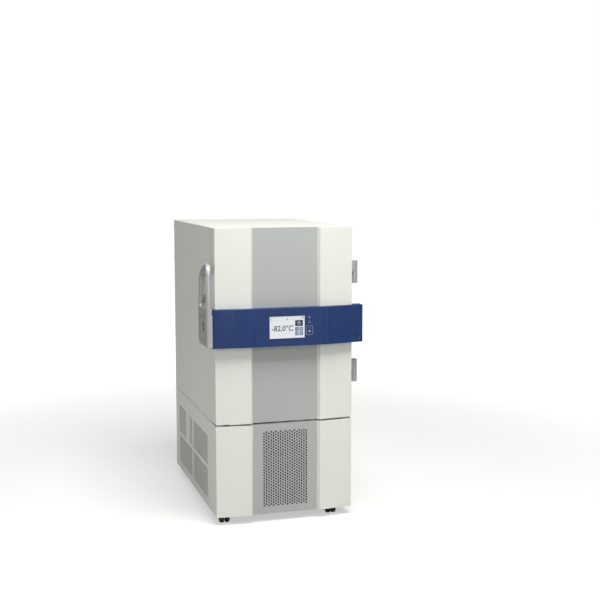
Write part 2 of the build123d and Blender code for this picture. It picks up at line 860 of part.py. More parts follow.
def handle_lever():
    x = lever_x()
    loop = sideways(lever_outline(), x)
    loop = chamfer(loop.edges().group_by(Axis.X)[0], handle_edge)
    loop -= sideways(lever_opening(), wider(x))
    bore_x = (x[0] + lever_bore_wall, x[1] + past)
    return loop - rod_x(lever_pin_radius + running_fit, bore_x, lever_pivot_y, lever_pivot_z)


def latch_hook():
    """Hook on the inner side of the lever's rear leg, over the striker on the cabinet."""
    x = (lever_x()[1], lever_x()[1] + hook_thickness)
    low = striker_z + striker_radius + hook_lift
    plate = block(x, (striker_y - hook_shoulder, striker_y + hook_tail), (low, low + hook_height))
    nose = block(x, (striker_y - hook_nose, striker_y), (low, low + hook_nose_height))
    return plate + nose - rod_x(striker_radius + hook_jaw, wider(x), striker_y, low)


def striker():
    """Bracket on the left side of the cabinet with the pin that the hook drops over."""
    plate = Box(striker_plate, striker_plate_size, striker_plate_size)
    plate = Pos(-striker_plate / 2, striker_y, striker_z) * plate
    plate = chamfer(plate.edges().filter_by(Axis.X), striker_plate_round)
    return plate + rod_x(striker_radius, (-striker_reach, -striker_plate), striker_y, striker_z)


def ear_x():
    start = lever_x()[1] + seat
    return (start, start + ear_thickness)


def lock_housing():
    length, height = lever_back + handle_front, housing_top - housing_bottom
    outline = Pos(lever_back - length / 2, housing_bottom + height / 2) * Rectangle(length, height)
    outline = fillet(outline.vertices().group_by(Axis.Y)[0].sort_by(Axis.X)[-1], housing_heel_round)
    body = sideways(outline, (-handle_reach, -housing_inner))
    body = chamfer(body.edges().group_by(Axis.X)[0], handle_edge)
    root = -housing_inner - past
    top = housing_top - housing_foot_rise
    foot_y = inward((0, door_thickness), housing_margin)
    foot = block((root, 0), foot_y, (housing_bottom + housing_foot_rise, top))
    tail_y = (housing_margin, lever_back - housing_tail_end)
    tail = block((root, -housing_tail_gap), tail_y, (housing_bottom + housing_tail_rise, top))
    ear_disc = Pos(lever_pivot_y, lever_pivot_z) * Circle(ear_round)
    ear_low = housing_top - ear_root
    ear_leg = Rectangle(2 * ear_round, lever_pivot_z - ear_low)
    ear_leg = Pos(lever_pivot_y, (lever_pivot_z + ear_low) / 2) * ear_leg
    body = body + foot + tail + sideways(ear_disc + ear_leg, ear_x())
    body -= rod_x(lever_pin_radius, wider(ear_x()), lever_pivot_y, lever_pivot_z)
    pocket = Pos(lock_centre_y, lock_centre_z) * SlotOverall(lock_height, lock_width, rotation=90)
    return body - sideways(pocket, (-handle_reach - past, -handle_reach + lock_depth))


def lever_pin():
    pin_x = (lever_x()[0] + lever_bore_wall + seat, ear_x()[1])
    return rod_x(lever_pin_radius, pin_x, lever_pivot_y, lever_pivot_z)


def lock_escutcheon():
    x = (-handle_reach + escutcheon_set, -handle_reach + lock_depth)
    centre = Pos(lock_centre_y, lock_centre_z)
    surround = centre * SlotOverall(lock_height - 2 * seat, lock_width - 2 * seat, rotation=90)
    dish = centre * SlotOverall(lock_height - 2 * dish_border, lock_width - 2 * dish_border, rotation=90)
    bore_x = (x[0] - past, x[1] - escutcheon_floor)
    bore = rod_x(cylinder_radius + running_fit, bore_x, lock_centre_y, lock_centre_z)
    return sideways(surround, x) - sideways(dish, (x[0] - past, x[0] + dish_depth)) - bore


def lock_cylinder():
    x = (-handle_reach + cylinder_set, -handle_reach + lock_depth - escutcheon_floor - seat)
    body = rod_x(cylinder_radius, x, lock_centre_y, lock_centre_z)
    key_y = (lock_centre_y - keyway_width / 2, lock_centre_y + keyway_width / 2)
    key_z = (lock_centre_z - keyway_length / 2, lock_centre_z + keyway_length / 2)
    return body - block((x[0] - past, x[0] + keyway_depth), key_y, key_z)


# Machine compartment

def base_pan():
    pan = block(frame_x, frame_y, pan_z)
    rim_z = (pan_z[0] - pan_rim, pan_z[1])
    for x in ((frame_x[0], frame_x[0] + pan_rim_wall), (frame_x[1] - pan_rim_wall, frame_x[1])):
        pan += block(x, frame_y, rim_z)
    return pan + block(frame_x, (frame_y[1] - pan_rim_wall, frame_y[1]), rim_z)


def corner_posts():
    solids = []
    z = (pan_z[1], seam_z)
    for x0, inner_x in ((frame_x[0], 1), (frame_x[1], -1)):
        for y0, inner_y in ((frame_y[0], 1), (frame_y[1], -1)):
            flange = Pos(inner_x * post_size / 2, inner_y * post_wall / 2) * Rectangle(post_size, post_wall)
            web = Pos(inner_x * post_wall / 2, inner_y * post_size / 2) * Rectangle(post_wall, post_size)
            solids.append(upright(Pos(x0, y0) * (flange + web), z))
    return Compound(solids)


def slotted_window(y, z):
    """Slots that fill one window of a side panel, as a sketch in Y and Z."""
    height = (z[1] - z[0] - slot_web * (window_slots - 1)) / window_slots
    slots = Sketch()
    for n in range(window_slots):
        centre = z[0] + height / 2 + n * (height + slot_web)
        slots += Pos((y[0] + y[1]) / 2, centre) * Rectangle(y[1] - y[0], height)
    return slots


def side_panel(x):
    sheet_y = (cover_depth + seat, body_depth - sheet - seat)
    panel = block(x, sheet_y, (bottom_z, panel_top))
    low = (window_low, window_low + window_height)
    high = (window_low + window_step, window_low + window_step + window_height)
    rear_end = window_rear + window_length
    windows = [
        ((window_front, window_front + window_length), low),
        ((window_front, window_front + window_length), high),
        ((window_rear, rear_end), low),
        ((window_rear, window_bar_start), high),
        ((window_bar_end, rear_end), high),
    ]
    for y, z in windows:
        panel -= sideways(slotted_window(y, z), wider(x))
    return panel


def rear_panel():
    panel_y = (body_depth - sheet, body_depth)
    panel = block((0, body_width), panel_y, (bottom_z, panel_top))
    slots = Sketch()
    for n in range(rear_slots):
        slots += Pos(rear_slot_x, rear_slot_z + n * rear_slot_pitch) * Rectangle(*rear_slot_size)
    panel -= facing(slots, wider(panel_y))
    hole_x = (inlet_x - inlet_width / 2 - seat, inlet_x + inlet_width / 2 + seat)
    hole_z = (inlet_z - inlet_height / 2 - seat, inlet_z + inlet_height / 2 + seat)
    return panel - block(hole_x, wider(panel_y), hole_z)


def power_inlet():
    outer_x = (inlet_x - inlet_width / 2, inlet_x + inlet_width / 2)
    outer_z = (inlet_z - inlet_height / 2, inlet_z + inlet_height / 2)
    face = body_depth + inlet_flange
    body = block(outer_x, (body_depth - inlet_depth, face), outer_z)
    flange_x, flange_z = inward(outer_x, -inlet_flange_side), inward(outer_z, -inlet_flange_edge)
    flange = block(flange_x, (body_depth, face), flange_z)
    floor = face - inlet_socket_depth
    socket = block(inward(outer_x, inlet_wall_side), (floor, face + past), inward(outer_z, inlet_wall_edge))
    inlet = body + flange - socket
    thick, long, high = blade_contact_size
    for n in (-1, 0, 1):
        x = inlet_x + n * blade_contact_pitch
        blade_z = (inlet_z - high / 2, inlet_z + high / 2)
        inlet += block((x - thick / 2, x + thick / 2), (floor - past, floor + long), blade_z)
    return inlet


def cover_wings():
    z = (bottom_z, cover_top)
    shell = upright(front_plan(cover_depth), z) - upright(hollow_plan(cover_depth, sheet), inward(z, sheet))
    window_x = inward((strip_left, strip_right), cover_window_margin)
    return shell - block(window_x, (-centre_rise, past), inward(z, cover_window_margin))


def cover_grille():
    """Centre strip of the lower cover, perforated in a staggered pattern."""
    strip_x = inward((strip_left, strip_right), seat)
    panel = block(strip_x, (-centre_rise, strip_thickness - centre_rise), (bottom_z, cover_top))
    columns = int(grille_width // grille_pitch) + 1
    row_pitch = grille_pitch / cos(radians(30))
    rows = int(grille_height // row_pitch)
    first_x = grille_side + (grille_width - (columns - 1) * grille_pitch) / 2
    first_z = grille_bottom + (grille_height - (rows - 0.5) * row_pitch) / 2 + row_pitch / 4
    holes = Sketch()
    for column in range(columns):
        shift = row_pitch / 2 if column % 2 else 0.0
        for row in range(rows):
            place = Pos(first_x + column * grille_pitch, first_z + shift + row * row_pitch)
            holes += place * RegularPolygon(grille_hole / 2, 6)
    return panel - facing(holes, wider((-centre_rise, strip_thickness - centre_rise)))


def air_filter():
    """Framed filter mat clipped behind the perforated strip; it comes off with the cover."""
    x = inward((strip_left, strip_right), filter_inset)
    y = (sheet + seat, sheet + seat + filter_thickness)
    z = (grille_bottom - filter_margin, grille_bottom + grille_height + filter_margin)
    mat_x, mat_z = inward(x, filter_border), inward(z, filter_border)
    filter_piece = block(x, y, z) - block(mat_x, wider(y), mat_z)
    filter_piece += block(mat_x, inward(y, filter_mat_set), mat_z)
    clip_y = (strip_thickness - centre_rise + seat, y[0] + past)
    wide, high = filter_clip
    for clip_x in ((x[0], x[0] + wide), (x[1] - wide, x[1])):
        for clip_z in ((z[0], z[0] + high), (z[1] - high, z[1])):
            filter_piece += block(clip_x, clip_y, clip_z)
    return filter_piece


def condenser():
    """Frame with a row of upright fins and the tubes that run across behind them."""
    x = (condenser_side, condenser_side + condenser_width)
    y = (condenser_front, condenser_front + condenser_depth)
    z = (pan_z[1], pan_z[1] + condenser_height)
    clear = inward(x, condenser_frame)
    coil = block(x, y, z) - block(clear, wider(y), inward(z, condenser_frame))
    tube_y = y[1] - condenser_tube_radius
    fin_y = (y[0] + fin_setback, tube_y - condenser_tube_radius - condenser_tube_gap)
    fin_z = inward(z, condenser_frame - past)
    fin_pitch = (clear[1] - clear[0]) / (condenser_fins + 1)
    for n in range(1, condenser_fins + 1):
        centre = clear[0] + n * fin_pitch
        coil += block((centre - fin_thickness / 2, centre + fin_thickness / 2), fin_y, fin_z)
    tube_x = inward(x, condenser_frame - past)
    tube_pitch = condenser_height / (condenser_rows + 1)
    for n in range(1, condenser_rows + 1):
        coil += prism_x(condenser_tube_radius, tube_x, tube_y, z[0] + n * tube_pitch, few_sides)
    return coil


def fan_centre():
    x = condenser_side + condenser_width / 2
    return x, pan_z[1] + condenser_height / 2


def shroud_y():
    start = condenser_front + condenser_depth + seat
    return (start, start + shroud_depth)


def fan_shroud():
    cx, cz = fan_centre()
    y = shroud_y()
    x = (condenser_side, condenser_side + condenser_width)
    z = (pan_z[1], pan_z[1] + condenser_height)
    hollow = block(inward(x, shroud_wall), (y[0] - past, y[1] - shroud_wall), inward(z, shroud_wall))
    ring_y = (y[1] - shroud_wall, y[1] + fan_depth)
    ring = rod_y(fan_radius + fan_tip_gap + shroud_wall, cx, ring_y, cz)
    return block(x, y, z) - hollow + ring - rod_y(fan_radius + fan_tip_gap, cx, wider(ring_y), cz)


def fan_rotor():
    cx, cz = fan_centre()
    y = inward((shroud_y()[1], shroud_y()[1] + fan_depth), fan_end_gap)
    rotor = rod_y(fan_hub_radius, cx, y, cz)
    mid = (y[0] + y[1]) / 2
    span = fan_radius - fan_hub_radius + blade_root
    for n in range(fan_blades):
        tilted = Rot(0, 0, blade_tilt) * Box(blade_width, blade_thickness, span)
        blade = Pos(0, 0, fan_hub_radius - blade_root + span / 2) * tilted
        rotor += Pos(cx, mid, cz) * Rot(0, 360 / fan_blades * n, 0) * blade
    rotor &= rod_y(fan_radius, cx, y, cz)
    return rotor - rod_y(shaft_radius + running_fit, cx, (y[0] + shaft_end, y[1] + past), cz)


def fan_motor():
    """Motor behind the fan, on four arms that end on the rim of the shroud's ring."""
    cx, cz = fan_centre()
    ring_end = shroud_y()[1] + fan_depth
    start = ring_end + motor_gap
    shaft_start = shroud_y()[1] + fan_end_gap + shaft_end + seat
    motor = rod_y(motor_radius, cx, (start, start + motor_length), cz)
    motor += rod_y(shaft_radius, cx, (shaft_start, start + past), cz)
    reach = fan_radius + fan_tip_gap + shroud_wall
    length = reach - motor_radius + motor_arm_root
    for turn in (45, 135, 225, 315):
        arm = Box(motor_arm, motor_arm_thickness, length)
        arm = Pos(0, motor_arm_thickness / 2, reach - length / 2) * arm
        pad = Pos(0, -motor_gap / 2, reach - shroud_wall / 2) * Box(motor_arm, motor_gap, shroud_wall)
        motor += Pos(cx, start, cz) * Rot(0, turn, 0) * (arm + pad)
    return motor


def compressor(x):
    """Hermetic compressor: a welded steel pot on a base plate, with its terminal box."""
    low = pan_z[1] + foot_height
    plate_z = (low, low + base_plate_thickness)
    plate_y = (compressor_y - base_plate_half, compressor_y + base_plate_half)
    plate = block((x - base_plate_half, x + base_plate_half), plate_y, plate_z)
    pot_radius = compressor_radius - weld_step
    shoulder_z = plate_z[1] + compressor_height - compressor_dome
    pot = prism_z(pot_radius, x, compressor_y, (plate_z[1], shoulder_z), round_sides)
    outline = RegularPolygon(pot_radius, round_sides)
    crown = extrude(outline, amount=compressor_dome, taper=compressor_dome_slope)
    pot += Pos(x, compressor_y, shoulder_z) * crown
    belt_z = plate_z[1] + weld_z
    pot += prism_z(compressor_radius, x, compressor_y, (belt_z, belt_z + weld_height), round_sides)
    front = compressor_y - compressor_radius
    terminal_z = (belt_z + terminal_rise, belt_z + terminal_rise + terminal_height)
    terminal_x = (x - terminal_width / 2, x + terminal_width / 2)
    return plate + pot + block(terminal_x, (front - terminal_reach, front + terminal_root), terminal_z)


def compressor_feet():
    solids = []
    for x in (first_compressor_x, second_compressor_x):
        for dx in (-foot_offset, foot_offset):
            for dy in (-foot_offset, foot_offset):
                z = (pan_z[1], pan_z[1] + foot_height)
                solids.append(prism_z(foot_radius, x + dx, compressor_y + dy, z, few_sides))
    return Compound(solids)


def pipe(*points):
    start = Vector(*points[0])
    section = Plane(origin=start, z_dir=Vector(*points[1]) - start) * RegularPolygon(pipe_radius, few_sides)
    return sweep(section, path=Polyline(*points), transition=Transition.RIGHT)


def refrigerant_pipes():
    """Interstage line from the first compressor up into the cabinet, and discharge line to the condenser."""
    start_z = pan_z[1] + foot_height + base_plate_thickness + compressor_height + seat
    top = start_z + pipe_rise
    y = compressor_y
    riser_x, riser_y = second_compressor_x - interstage_offset, y + interstage_back
    interstage = pipe((first_compressor_x, y, start_z), (first_compressor_x, y, top), (riser_x, y, top),
                      (riser_x, riser_y, top), (riser_x, riser_y, seam_z))
    joint_x = condenser_side + condenser_width + seat
    side_x, side_y = joint_x + discharge_side, condenser_front + discharge_front
    discharge = pipe((second_compressor_x, y, start_z), (second_compressor_x, y, top),
                     (second_compressor_x, y - discharge_forward, top), (side_x, y - discharge_forward, top),
                     (side_x, side_y, top), (side_x, side_y, top - discharge_drop),
                     (joint_x, side_y, top - discharge_drop))
    return Compound([interstage, discharge])


def control_box():
    x = (control_left, control_left + control_width)
    y = (control_front, control_front + control_depth)
    z = (pan_z[1], pan_z[1] + control_height)
    box = block(x, y, z)
    box = chamfer(box.edges().filter_by(Axis.Z), control_round)
    return box + block((x[0] - lid_thickness, x[0]), inward(y, lid_border), inward(z, lid_border))


# Castors

def castor_places():
    right = body_width - castor_right
    return {
        "front_left": (castor_left, castor_front_y),
        "front_right": (right, castor_front_y),
        "rear_left": (castor_left, castor_rear_y),
        "rear_right": (right, castor_rear_y),
    }


def castor_plates():
    solids = []
    z = (pan_z[0] - castor_plate_thickness, pan_z[0])
    hole = RegularPolygon(kingpin_radius + running_fit, few_sides, major_radius=False)
    for x, y in castor_places().values():
        plate = Rectangle(castor_plate, castor_plate) - hole
        solids.append(upright(Pos(x, y) * plate, z))
    return Compound(solids)


def castor_fork(x, y, braked):
    top = pan_z[0] - castor_plate_thickness - seat
    low = top - swivel_height
    fork = prism_z(swivel_radius, x, y, (low, top), round_sides)
    fork += prism_z(kingpin_radius, x, y, (top, pan_z[0] - seat), few_sides)
    axle_y = y - castor_trail
    hub = Pos(axle_y, wheel_radius) * Circle(hub_radius)
    head = Pos(y, low) * Rectangle(web_head, web_head_height)
    fork += sideways(make_hull((hub + head).edges()), (x - web_half, x + web_half))
    half = (wheel_spacing + wheel_width) / 2 - axle_inset
    fork += rod_x(axle_radius, (x - half, x + half), axle_y, wheel_radius)
    if braked:
        bore_x = wider((x - web_half, x + web_half))
        fork -= rod_x(pedal_pin_radius + running_fit, bore_x, y - pedal_pin_y, pedal_pin_z)
    return fork


def castor_wheels(x, y):
    solids = []
    for side in (-1, 1):
        centre = x + side * wheel_spacing / 2
        span = (centre - wheel_width / 2, centre + wheel_width / 2)
        wheel = prism_x(wheel_radius, span, y - castor_trail, wheel_radius, round_sides)
        solids.append(wheel - rod_x(axle_radius + running_fit, wider(span), y - castor_trail, wheel_radius))
    return Compound(solids)


def brake_pedal(x, y):
    z = (pedal_pin_z - pedal_height, pedal_pin_z)
    front = y - pedal_reach
    pin_y = y - pedal_pin_y
    pedal = block((x - pedal_half, x + pedal_half), (front, front + pedal_bar), z)
    for side in (-1, 1):
        arm = sorted((x + side * (web_half + pedal_arm_gap), x + side * pedal_half))
        pedal += block(arm, (front, pin_y + pedal_pin_radius + past), z)
    return pedal + rod_x(pedal_pin_radius, (x - pedal_half, x + pedal_half), pin_y, pedal_pin_z)


def all_pieces():
    pieces = {
        "cabinet_shell": cabinet_shell(),
        "breaker_frame": breaker_frame(),
        "cabinet_foam": cabinet_foam(),
        "cabinet_liner": cabinet_liner(),
        "evaporator_coil": evaporator_coil(),
        "shelves": shelves(),
        "shelf_clips": shelf_clips(),
        "inner_stop_frame": stop_frame(),
        "upper_inner_door": inner_door(True),
        "lower_inner_door": inner_door(False),
        "inner_hinge_brackets": inner_hinge_brackets(),
        "port_sleeve": port_sleeve(),
        "port_plug": port_plug(),
        "door_shell": door_shell(),
        "door_centre_strip": door_centre_strip(),
        "door_liner": door_liner(),
        "door_foam": door_foam(),
        "door_gasket": door_gasket(),
        "door_hinge_leaves": door_hinge_leaves(),
        "cabinet_hinge_leaves": cabinet_hinge_leaves(),
        "hinge_pins": hinge_pins(),
        "control_band": control_band(),
        "touch_screen": touch_screen(),
        "handle_lever": handle_lever(),
        "latch_hook": latch_hook(),
        "striker": striker(),
        "lock_housing": lock_housing(),
        "lever_pin": lever_pin(),
        "lock_escutcheon": lock_escutcheon(),
        "lock_cylinder": lock_cylinder(),
        "base_pan": base_pan(),
        "corner_posts": corner_posts(),
        "left_side_panel": side_panel((0, sheet)),
        "right_side_panel": side_panel((body_width - sheet, body_width)),
        "rear_panel": rear_panel(),
        "power_inlet": power_inlet(),
        "cover_wings": cover_wings(),
        "cover_grille": cover_grille(),
        "air_filter": air_filter(),
        "condenser": condenser(),
        "fan_shroud": fan_shroud(),
        "fan_rotor": fan_rotor(),
        "fan_motor": fan_motor(),
        "first_compressor": compressor(first_compressor_x),
        "second_compressor": compressor(second_compressor_x),
        "compressor_feet": compressor_feet(),
        "refrigerant_pipes": refrigerant_pipes(),
        "control_box": control_box(),
        "castor_plates": castor_plates(),
    }
    for name, place in castor_places().items():
        braked = name.startswith("front")
        pieces["fork_" + name] = castor_fork(*place, braked)
        pieces["wheels_" + name] = castor_wheels(*place)
        if braked:
            pieces["brake_" + name] = brake_pedal(*place)
    return pieces


def main():
    os.makedirs("parts", exist_ok=True)
    for name, piece in all_pieces().items():
        export_step(Pos(-origin_x, -origin_y, 0) * piece, "parts/" + name + ".step")
    print("pieces written to parts")


main()
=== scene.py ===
import json
import math

import bmesh
import bpy
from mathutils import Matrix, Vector


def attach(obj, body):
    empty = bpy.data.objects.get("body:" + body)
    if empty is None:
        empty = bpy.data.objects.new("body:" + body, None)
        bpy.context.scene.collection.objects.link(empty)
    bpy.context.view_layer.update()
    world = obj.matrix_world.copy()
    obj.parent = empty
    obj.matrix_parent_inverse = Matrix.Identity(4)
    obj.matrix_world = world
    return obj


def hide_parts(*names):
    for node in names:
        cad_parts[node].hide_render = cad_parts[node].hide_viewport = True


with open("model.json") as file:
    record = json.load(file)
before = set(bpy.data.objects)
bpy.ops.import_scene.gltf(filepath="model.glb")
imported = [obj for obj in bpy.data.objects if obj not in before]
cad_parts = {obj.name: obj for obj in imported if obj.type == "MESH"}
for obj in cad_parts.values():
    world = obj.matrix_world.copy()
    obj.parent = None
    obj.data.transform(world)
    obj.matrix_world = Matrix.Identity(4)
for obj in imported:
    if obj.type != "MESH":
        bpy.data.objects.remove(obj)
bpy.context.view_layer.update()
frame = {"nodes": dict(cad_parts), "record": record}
scene = bpy.context.scene
nodes = frame["nodes"]
print("frame loaded:", len(nodes), "nodes")


# Camera, at the photograph's viewpoint

viewpoint = {
    "place": (-1.4810, -5.6885, 1.7533),
    "turnRight": 16.84,  # degrees, from straight at the front
    "lookDown": 6.515,
    "lens": 64.25,
}


def addCamera():
    data = bpy.data.cameras.new("photoCamera")
    data.lens = viewpoint["lens"]
    data.sensor_width = 36
    data.clip_end = 200
    camera = bpy.data.objects.new("photoCamera", data)
    camera.location = viewpoint["place"]
    camera.rotation_euler = (math.radians(90 - viewpoint["lookDown"]), 0, math.radians(-viewpoint["turnRight"]))
    scene.collection.objects.link(camera)
    scene.camera = camera


addCamera()
print("camera placed")


# Studio: floor, lamps and world

studio = {
    "floorSize": 60.0,
    "floorColour": (0.45, 0.45, 0.445),
    "floorGlow": 0.50,  # lifts the floor to the white backdrop for the camera
    "farGlow": 0.95,
    "glowStart": 1.6,  # metres from the freezer's middle
    "glowFull": 5.0,
    "worldLight": 0.27,
}
lamps = {  # place, size, power
    "keyLamp": ((0.4, -2.3, 5.6), 2.4, 313.0),
    "fillLamp": ((0.9, -6.0, 2.6), 3.0, 65.0),
    "sideLamp": ((-5.2, -0.4, 2.2), 3.0, 56.0),
}


def addLamp(name, place, target, size, power):
    data = bpy.data.lights.new(name, "AREA")
    data.shape = "SQUARE"
    data.size = size
    data.energy = power
    lamp = bpy.data.objects.new(name, data)
    lamp.location = place
    lamp.rotation_euler = (Vector(target) - Vector(place)).to_track_quat("-Z", "Y").to_euler()
    scene.collection.objects.link(lamp)


def addWorld():
    world = bpy.data.worlds.new("studioWorld")
    world.use_nodes = True
    scene.world = world
    tree = world.node_tree
    tree.nodes.clear()
    output = tree.nodes.new("ShaderNodeOutputWorld")
    soft = tree.nodes.new("ShaderNodeBackground")
    soft.inputs["Color"].default_value = (1, 1, 1, 1)
    soft.inputs["Strength"].default_value = studio["worldLight"]
    white = tree.nodes.new("ShaderNodeBackground")
    white.inputs["Color"].default_value = (1, 1, 1, 1)
    white.inputs["Strength"].default_value = 1.0
    rays = tree.nodes.new("ShaderNodeLightPath")
    seen = tree.nodes.new("ShaderNodeMath")
    seen.operation = "MAXIMUM"
    tree.links.new(rays.outputs["Is Camera Ray"], seen.inputs[0])
    tree.links.new(rays.outputs["Is Transmission Ray"], seen.inputs[1])
    mix = tree.nodes.new("ShaderNodeMixShader")
    tree.links.new(seen.outputs[0], mix.inputs[0])
    tree.links.new(soft.outputs[0], mix.inputs[1])
    tree.links.new(white.outputs[0], mix.inputs[2])
    tree.links.new(mix.outputs[0], output.inputs["Surface"])


def addFloor():
    half = studio["floorSize"] / 2
    mesh = bpy.data.meshes.new("studioFloor")
    mesh.from_pydata([(-half, -half, 0), (half, -half, 0), (half, half, 0), (-half, half, 0)], [], [(0, 1, 2, 3)])
    floor = bpy.data.objects.new("studioFloor", mesh)
    scene.collection.objects.link(floor)
    material = bpy.data.materials.new("floorWhite")
    material.use_nodes = True
    tree = material.node_tree
    shader = tree.nodes["Principled BSDF"]
    shader.inputs["Base Color"].default_value = (*studio["floorColour"], 1)
    shader.inputs["Roughness"].default_value = 0.85
    shader.inputs["Specular IOR Level"].default_value = 0.1
    glow = tree.nodes.new("ShaderNodeEmission")
    rays = tree.nodes.new("ShaderNodeLightPath")
    place = tree.nodes.new("ShaderNodeTexCoord")
    away = tree.nodes.new("ShaderNodeVectorMath")
    away.operation = "LENGTH"
    tree.links.new(place.outputs["Object"], away.inputs[0])
    level = tree.nodes.new("ShaderNodeMapRange")
    level.interpolation_type = "SMOOTHSTEP"
    for label, key in (("From Min", "glowStart"), ("From Max", "glowFull"), ("To Min", "floorGlow"), ("To Max",
                                                                                                      "farGlow")):
        level.inputs[label].default_value = studio[key]
    tree.links.new(away.outputs["Value"], level.inputs["Value"])
    strength = tree.nodes.new("ShaderNodeMath")
    strength.operation = "MULTIPLY"
    tree.links.new(level.outputs["Result"], strength.inputs[1])
    tree.links.new(rays.outputs["Is Camera Ray"], strength.inputs[0])
    tree.links.new(strength.outputs[0], glow.inputs["Strength"])
    add = tree.nodes.new("ShaderNodeAddShader")
    tree.links.new(shader.outputs[0], add.inputs[0])
    tree.links.new(glow.outputs[0], add.inputs[1])
    tree.links.new(add.outputs[0], tree.nodes["Material Output"].inputs["Surface"])
    mesh.materials.append(material)


addWorld()
addFloor()
for lampName, (lampPlace, lampSize, lampPower) in lamps.items():
    addLamp(lampName, lampPlace, (0, 0, 0.8), lampSize, lampPower)
scene.view_settings.view_transform = "Standard"
print("studio lit")


# Node groups shared by the materials

def makeGroup(name, inputs, outputs):
    group = bpy.data.node_groups.new(name, "ShaderNodeTree")
    for label, kind, value in inputs:
        socket = group.interface.new_socket(name=label, in_out="INPUT", socket_type=kind)
        socket.default_value = value
    for label, kind in outputs:
        group.interface.new_socket(name=label, in_out="OUTPUT", socket_type=kind)
    return group, group.nodes.new("NodeGroupInput"), group.nodes.new("NodeGroupOutput")


def addNode(tree, kind, **settings):
    node = tree.nodes.new(kind)
    for key, value in settings.items():
        setattr(node, key, value)
    return node


def objectNoise(tree, scaleSocket, detail, stretch=(1, 1, 1)):
    place = addNode(tree, "ShaderNodeTexCoord")
    mapping = addNode(tree, "ShaderNodeMapping")
    mapping.inputs["Scale"].default_value = stretch
    tree.links.new(place.outputs["Object"], mapping.inputs["Vector"])
    noise = addNode(tree, "ShaderNodeTexNoise")
    noise.inputs["Detail"].default_value = detail
    tree.links.new(mapping.outputs["Vector"], noise.inputs["Vector"])
    if scaleSocket is not None:
        tree.links.new(scaleSocket, noise.inputs["Scale"])
    return noise


def mapRange(tree, source, low, high, toLow, toHigh):
    node = addNode(tree, "ShaderNodeMapRange")
    for label, value in (("From Min", low), ("From Max", high), ("To Min", toLow), ("To Max", toHigh)):
        if isinstance(value, (int, float)):
            node.inputs[label].default_value = value
        else:
            tree.links.new(value, node.inputs[label])
    tree.links.new(source, node.inputs["Value"])
    return node.outputs["Result"]


def mixColour(tree, factor, first, second, blend="MIX"):
    node = addNode(tree, "ShaderNodeMix", data_type="RGBA", blend_type=blend)
    for socket, value in ((node.inputs[0], factor), (node.inputs[6], first), (node.inputs[7], second)):
        if isinstance(value, (int, float)):
            socket.default_value = value
        elif isinstance(value, tuple):
            socket.default_value = (*value[:3], 1)
        else:
            tree.links.new(value, socket)
    return node.outputs[2]


def makePaintGroup():
    group, start, end = makeGroup(
        "paintSurface",
        [("Colour", "NodeSocketColor", (0.8, 0.8, 0.8, 1)), ("Peel Scale", "NodeSocketFloat", 700.0),
         ("Cloud Amount", "NodeSocketFloat", 0.03), ("Roughness", "NodeSocketFloat", 0.35),
         ("Roughness Spread", "NodeSocketFloat", 0.08), ("Wear", "NodeSocketFloat", 0.2)],
        [("Colour", "NodeSocketColor"), ("Roughness", "NodeSocketFloat"), ("Height", "NodeSocketFloat")],
    )
    peel = objectNoise(group, start.outputs["Peel Scale"], 2)
    cloud = objectNoise(group, None, 3)
    cloud.inputs["Scale"].default_value = 2.2
    smudge = objectNoise(group, None, 5)
    smudge.inputs["Scale"].default_value = 14
    low = addNode(group, "ShaderNodeMath", operation="SUBTRACT")
    low.inputs[0].default_value = 1
    group.links.new(start.outputs["Cloud Amount"], low.inputs[1])
    shade = mapRange(group, cloud.outputs["Fac"], 0.3, 0.7, low.outputs[0], 1.0)
    tinted = addNode(group, "ShaderNodeVectorMath", operation="SCALE")
    group.links.new(start.outputs["Colour"], tinted.inputs[0])
    group.links.new(shade, tinted.inputs["Scale"])
    shape = addNode(group, "ShaderNodeNewGeometry")
    rounded = addNode(group, "ShaderNodeBevel", samples=4)
    rounded.inputs["Radius"].default_value = 0.003
    across = addNode(group, "ShaderNodeVectorMath", operation="DOT_PRODUCT")
    group.links.new(rounded.outputs["Normal"], across.inputs[0])
    group.links.new(shape.outputs["Normal"], across.inputs[1])
    edge = mapRange(group, across.outputs["Value"], 0.97, 0.80, 0.0, 1.0)
    worn = addNode(group, "ShaderNodeMath", operation="MULTIPLY", use_clamp=True)
    group.links.new(edge, worn.inputs[0])
    group.links.new(start.outputs["Wear"], worn.inputs[1])
    patchy = addNode(group, "ShaderNodeMath", operation="MULTIPLY", use_clamp=True)
    group.links.new(worn.outputs[0], patchy.inputs[0])
    group.links.new(mapRange(group, smudge.outputs["Fac"], 0.45, 0.6, 0.0, 1.0), patchy.inputs[1])
    group.links.new(mixColour(group, patchy.outputs[0], tinted.outputs[0], (0.42, 0.42, 0.41)), end.inputs["Colour"])
    spread = addNode(group, "ShaderNodeMath", operation="MULTIPLY_ADD")
    group.links.new(mapRange(group, smudge.outputs["Fac"], 0.3, 0.7, -0.5, 0.5), spread.inputs[0])
    group.links.new(start.outputs["Roughness Spread"], spread.inputs[1])
    group.links.new(start.outputs["Roughness"], spread.inputs[2])
    group.links.new(spread.outputs[0], end.inputs["Roughness"])
    group.links.new(peel.outputs["Fac"], end.inputs["Height"])
    return group


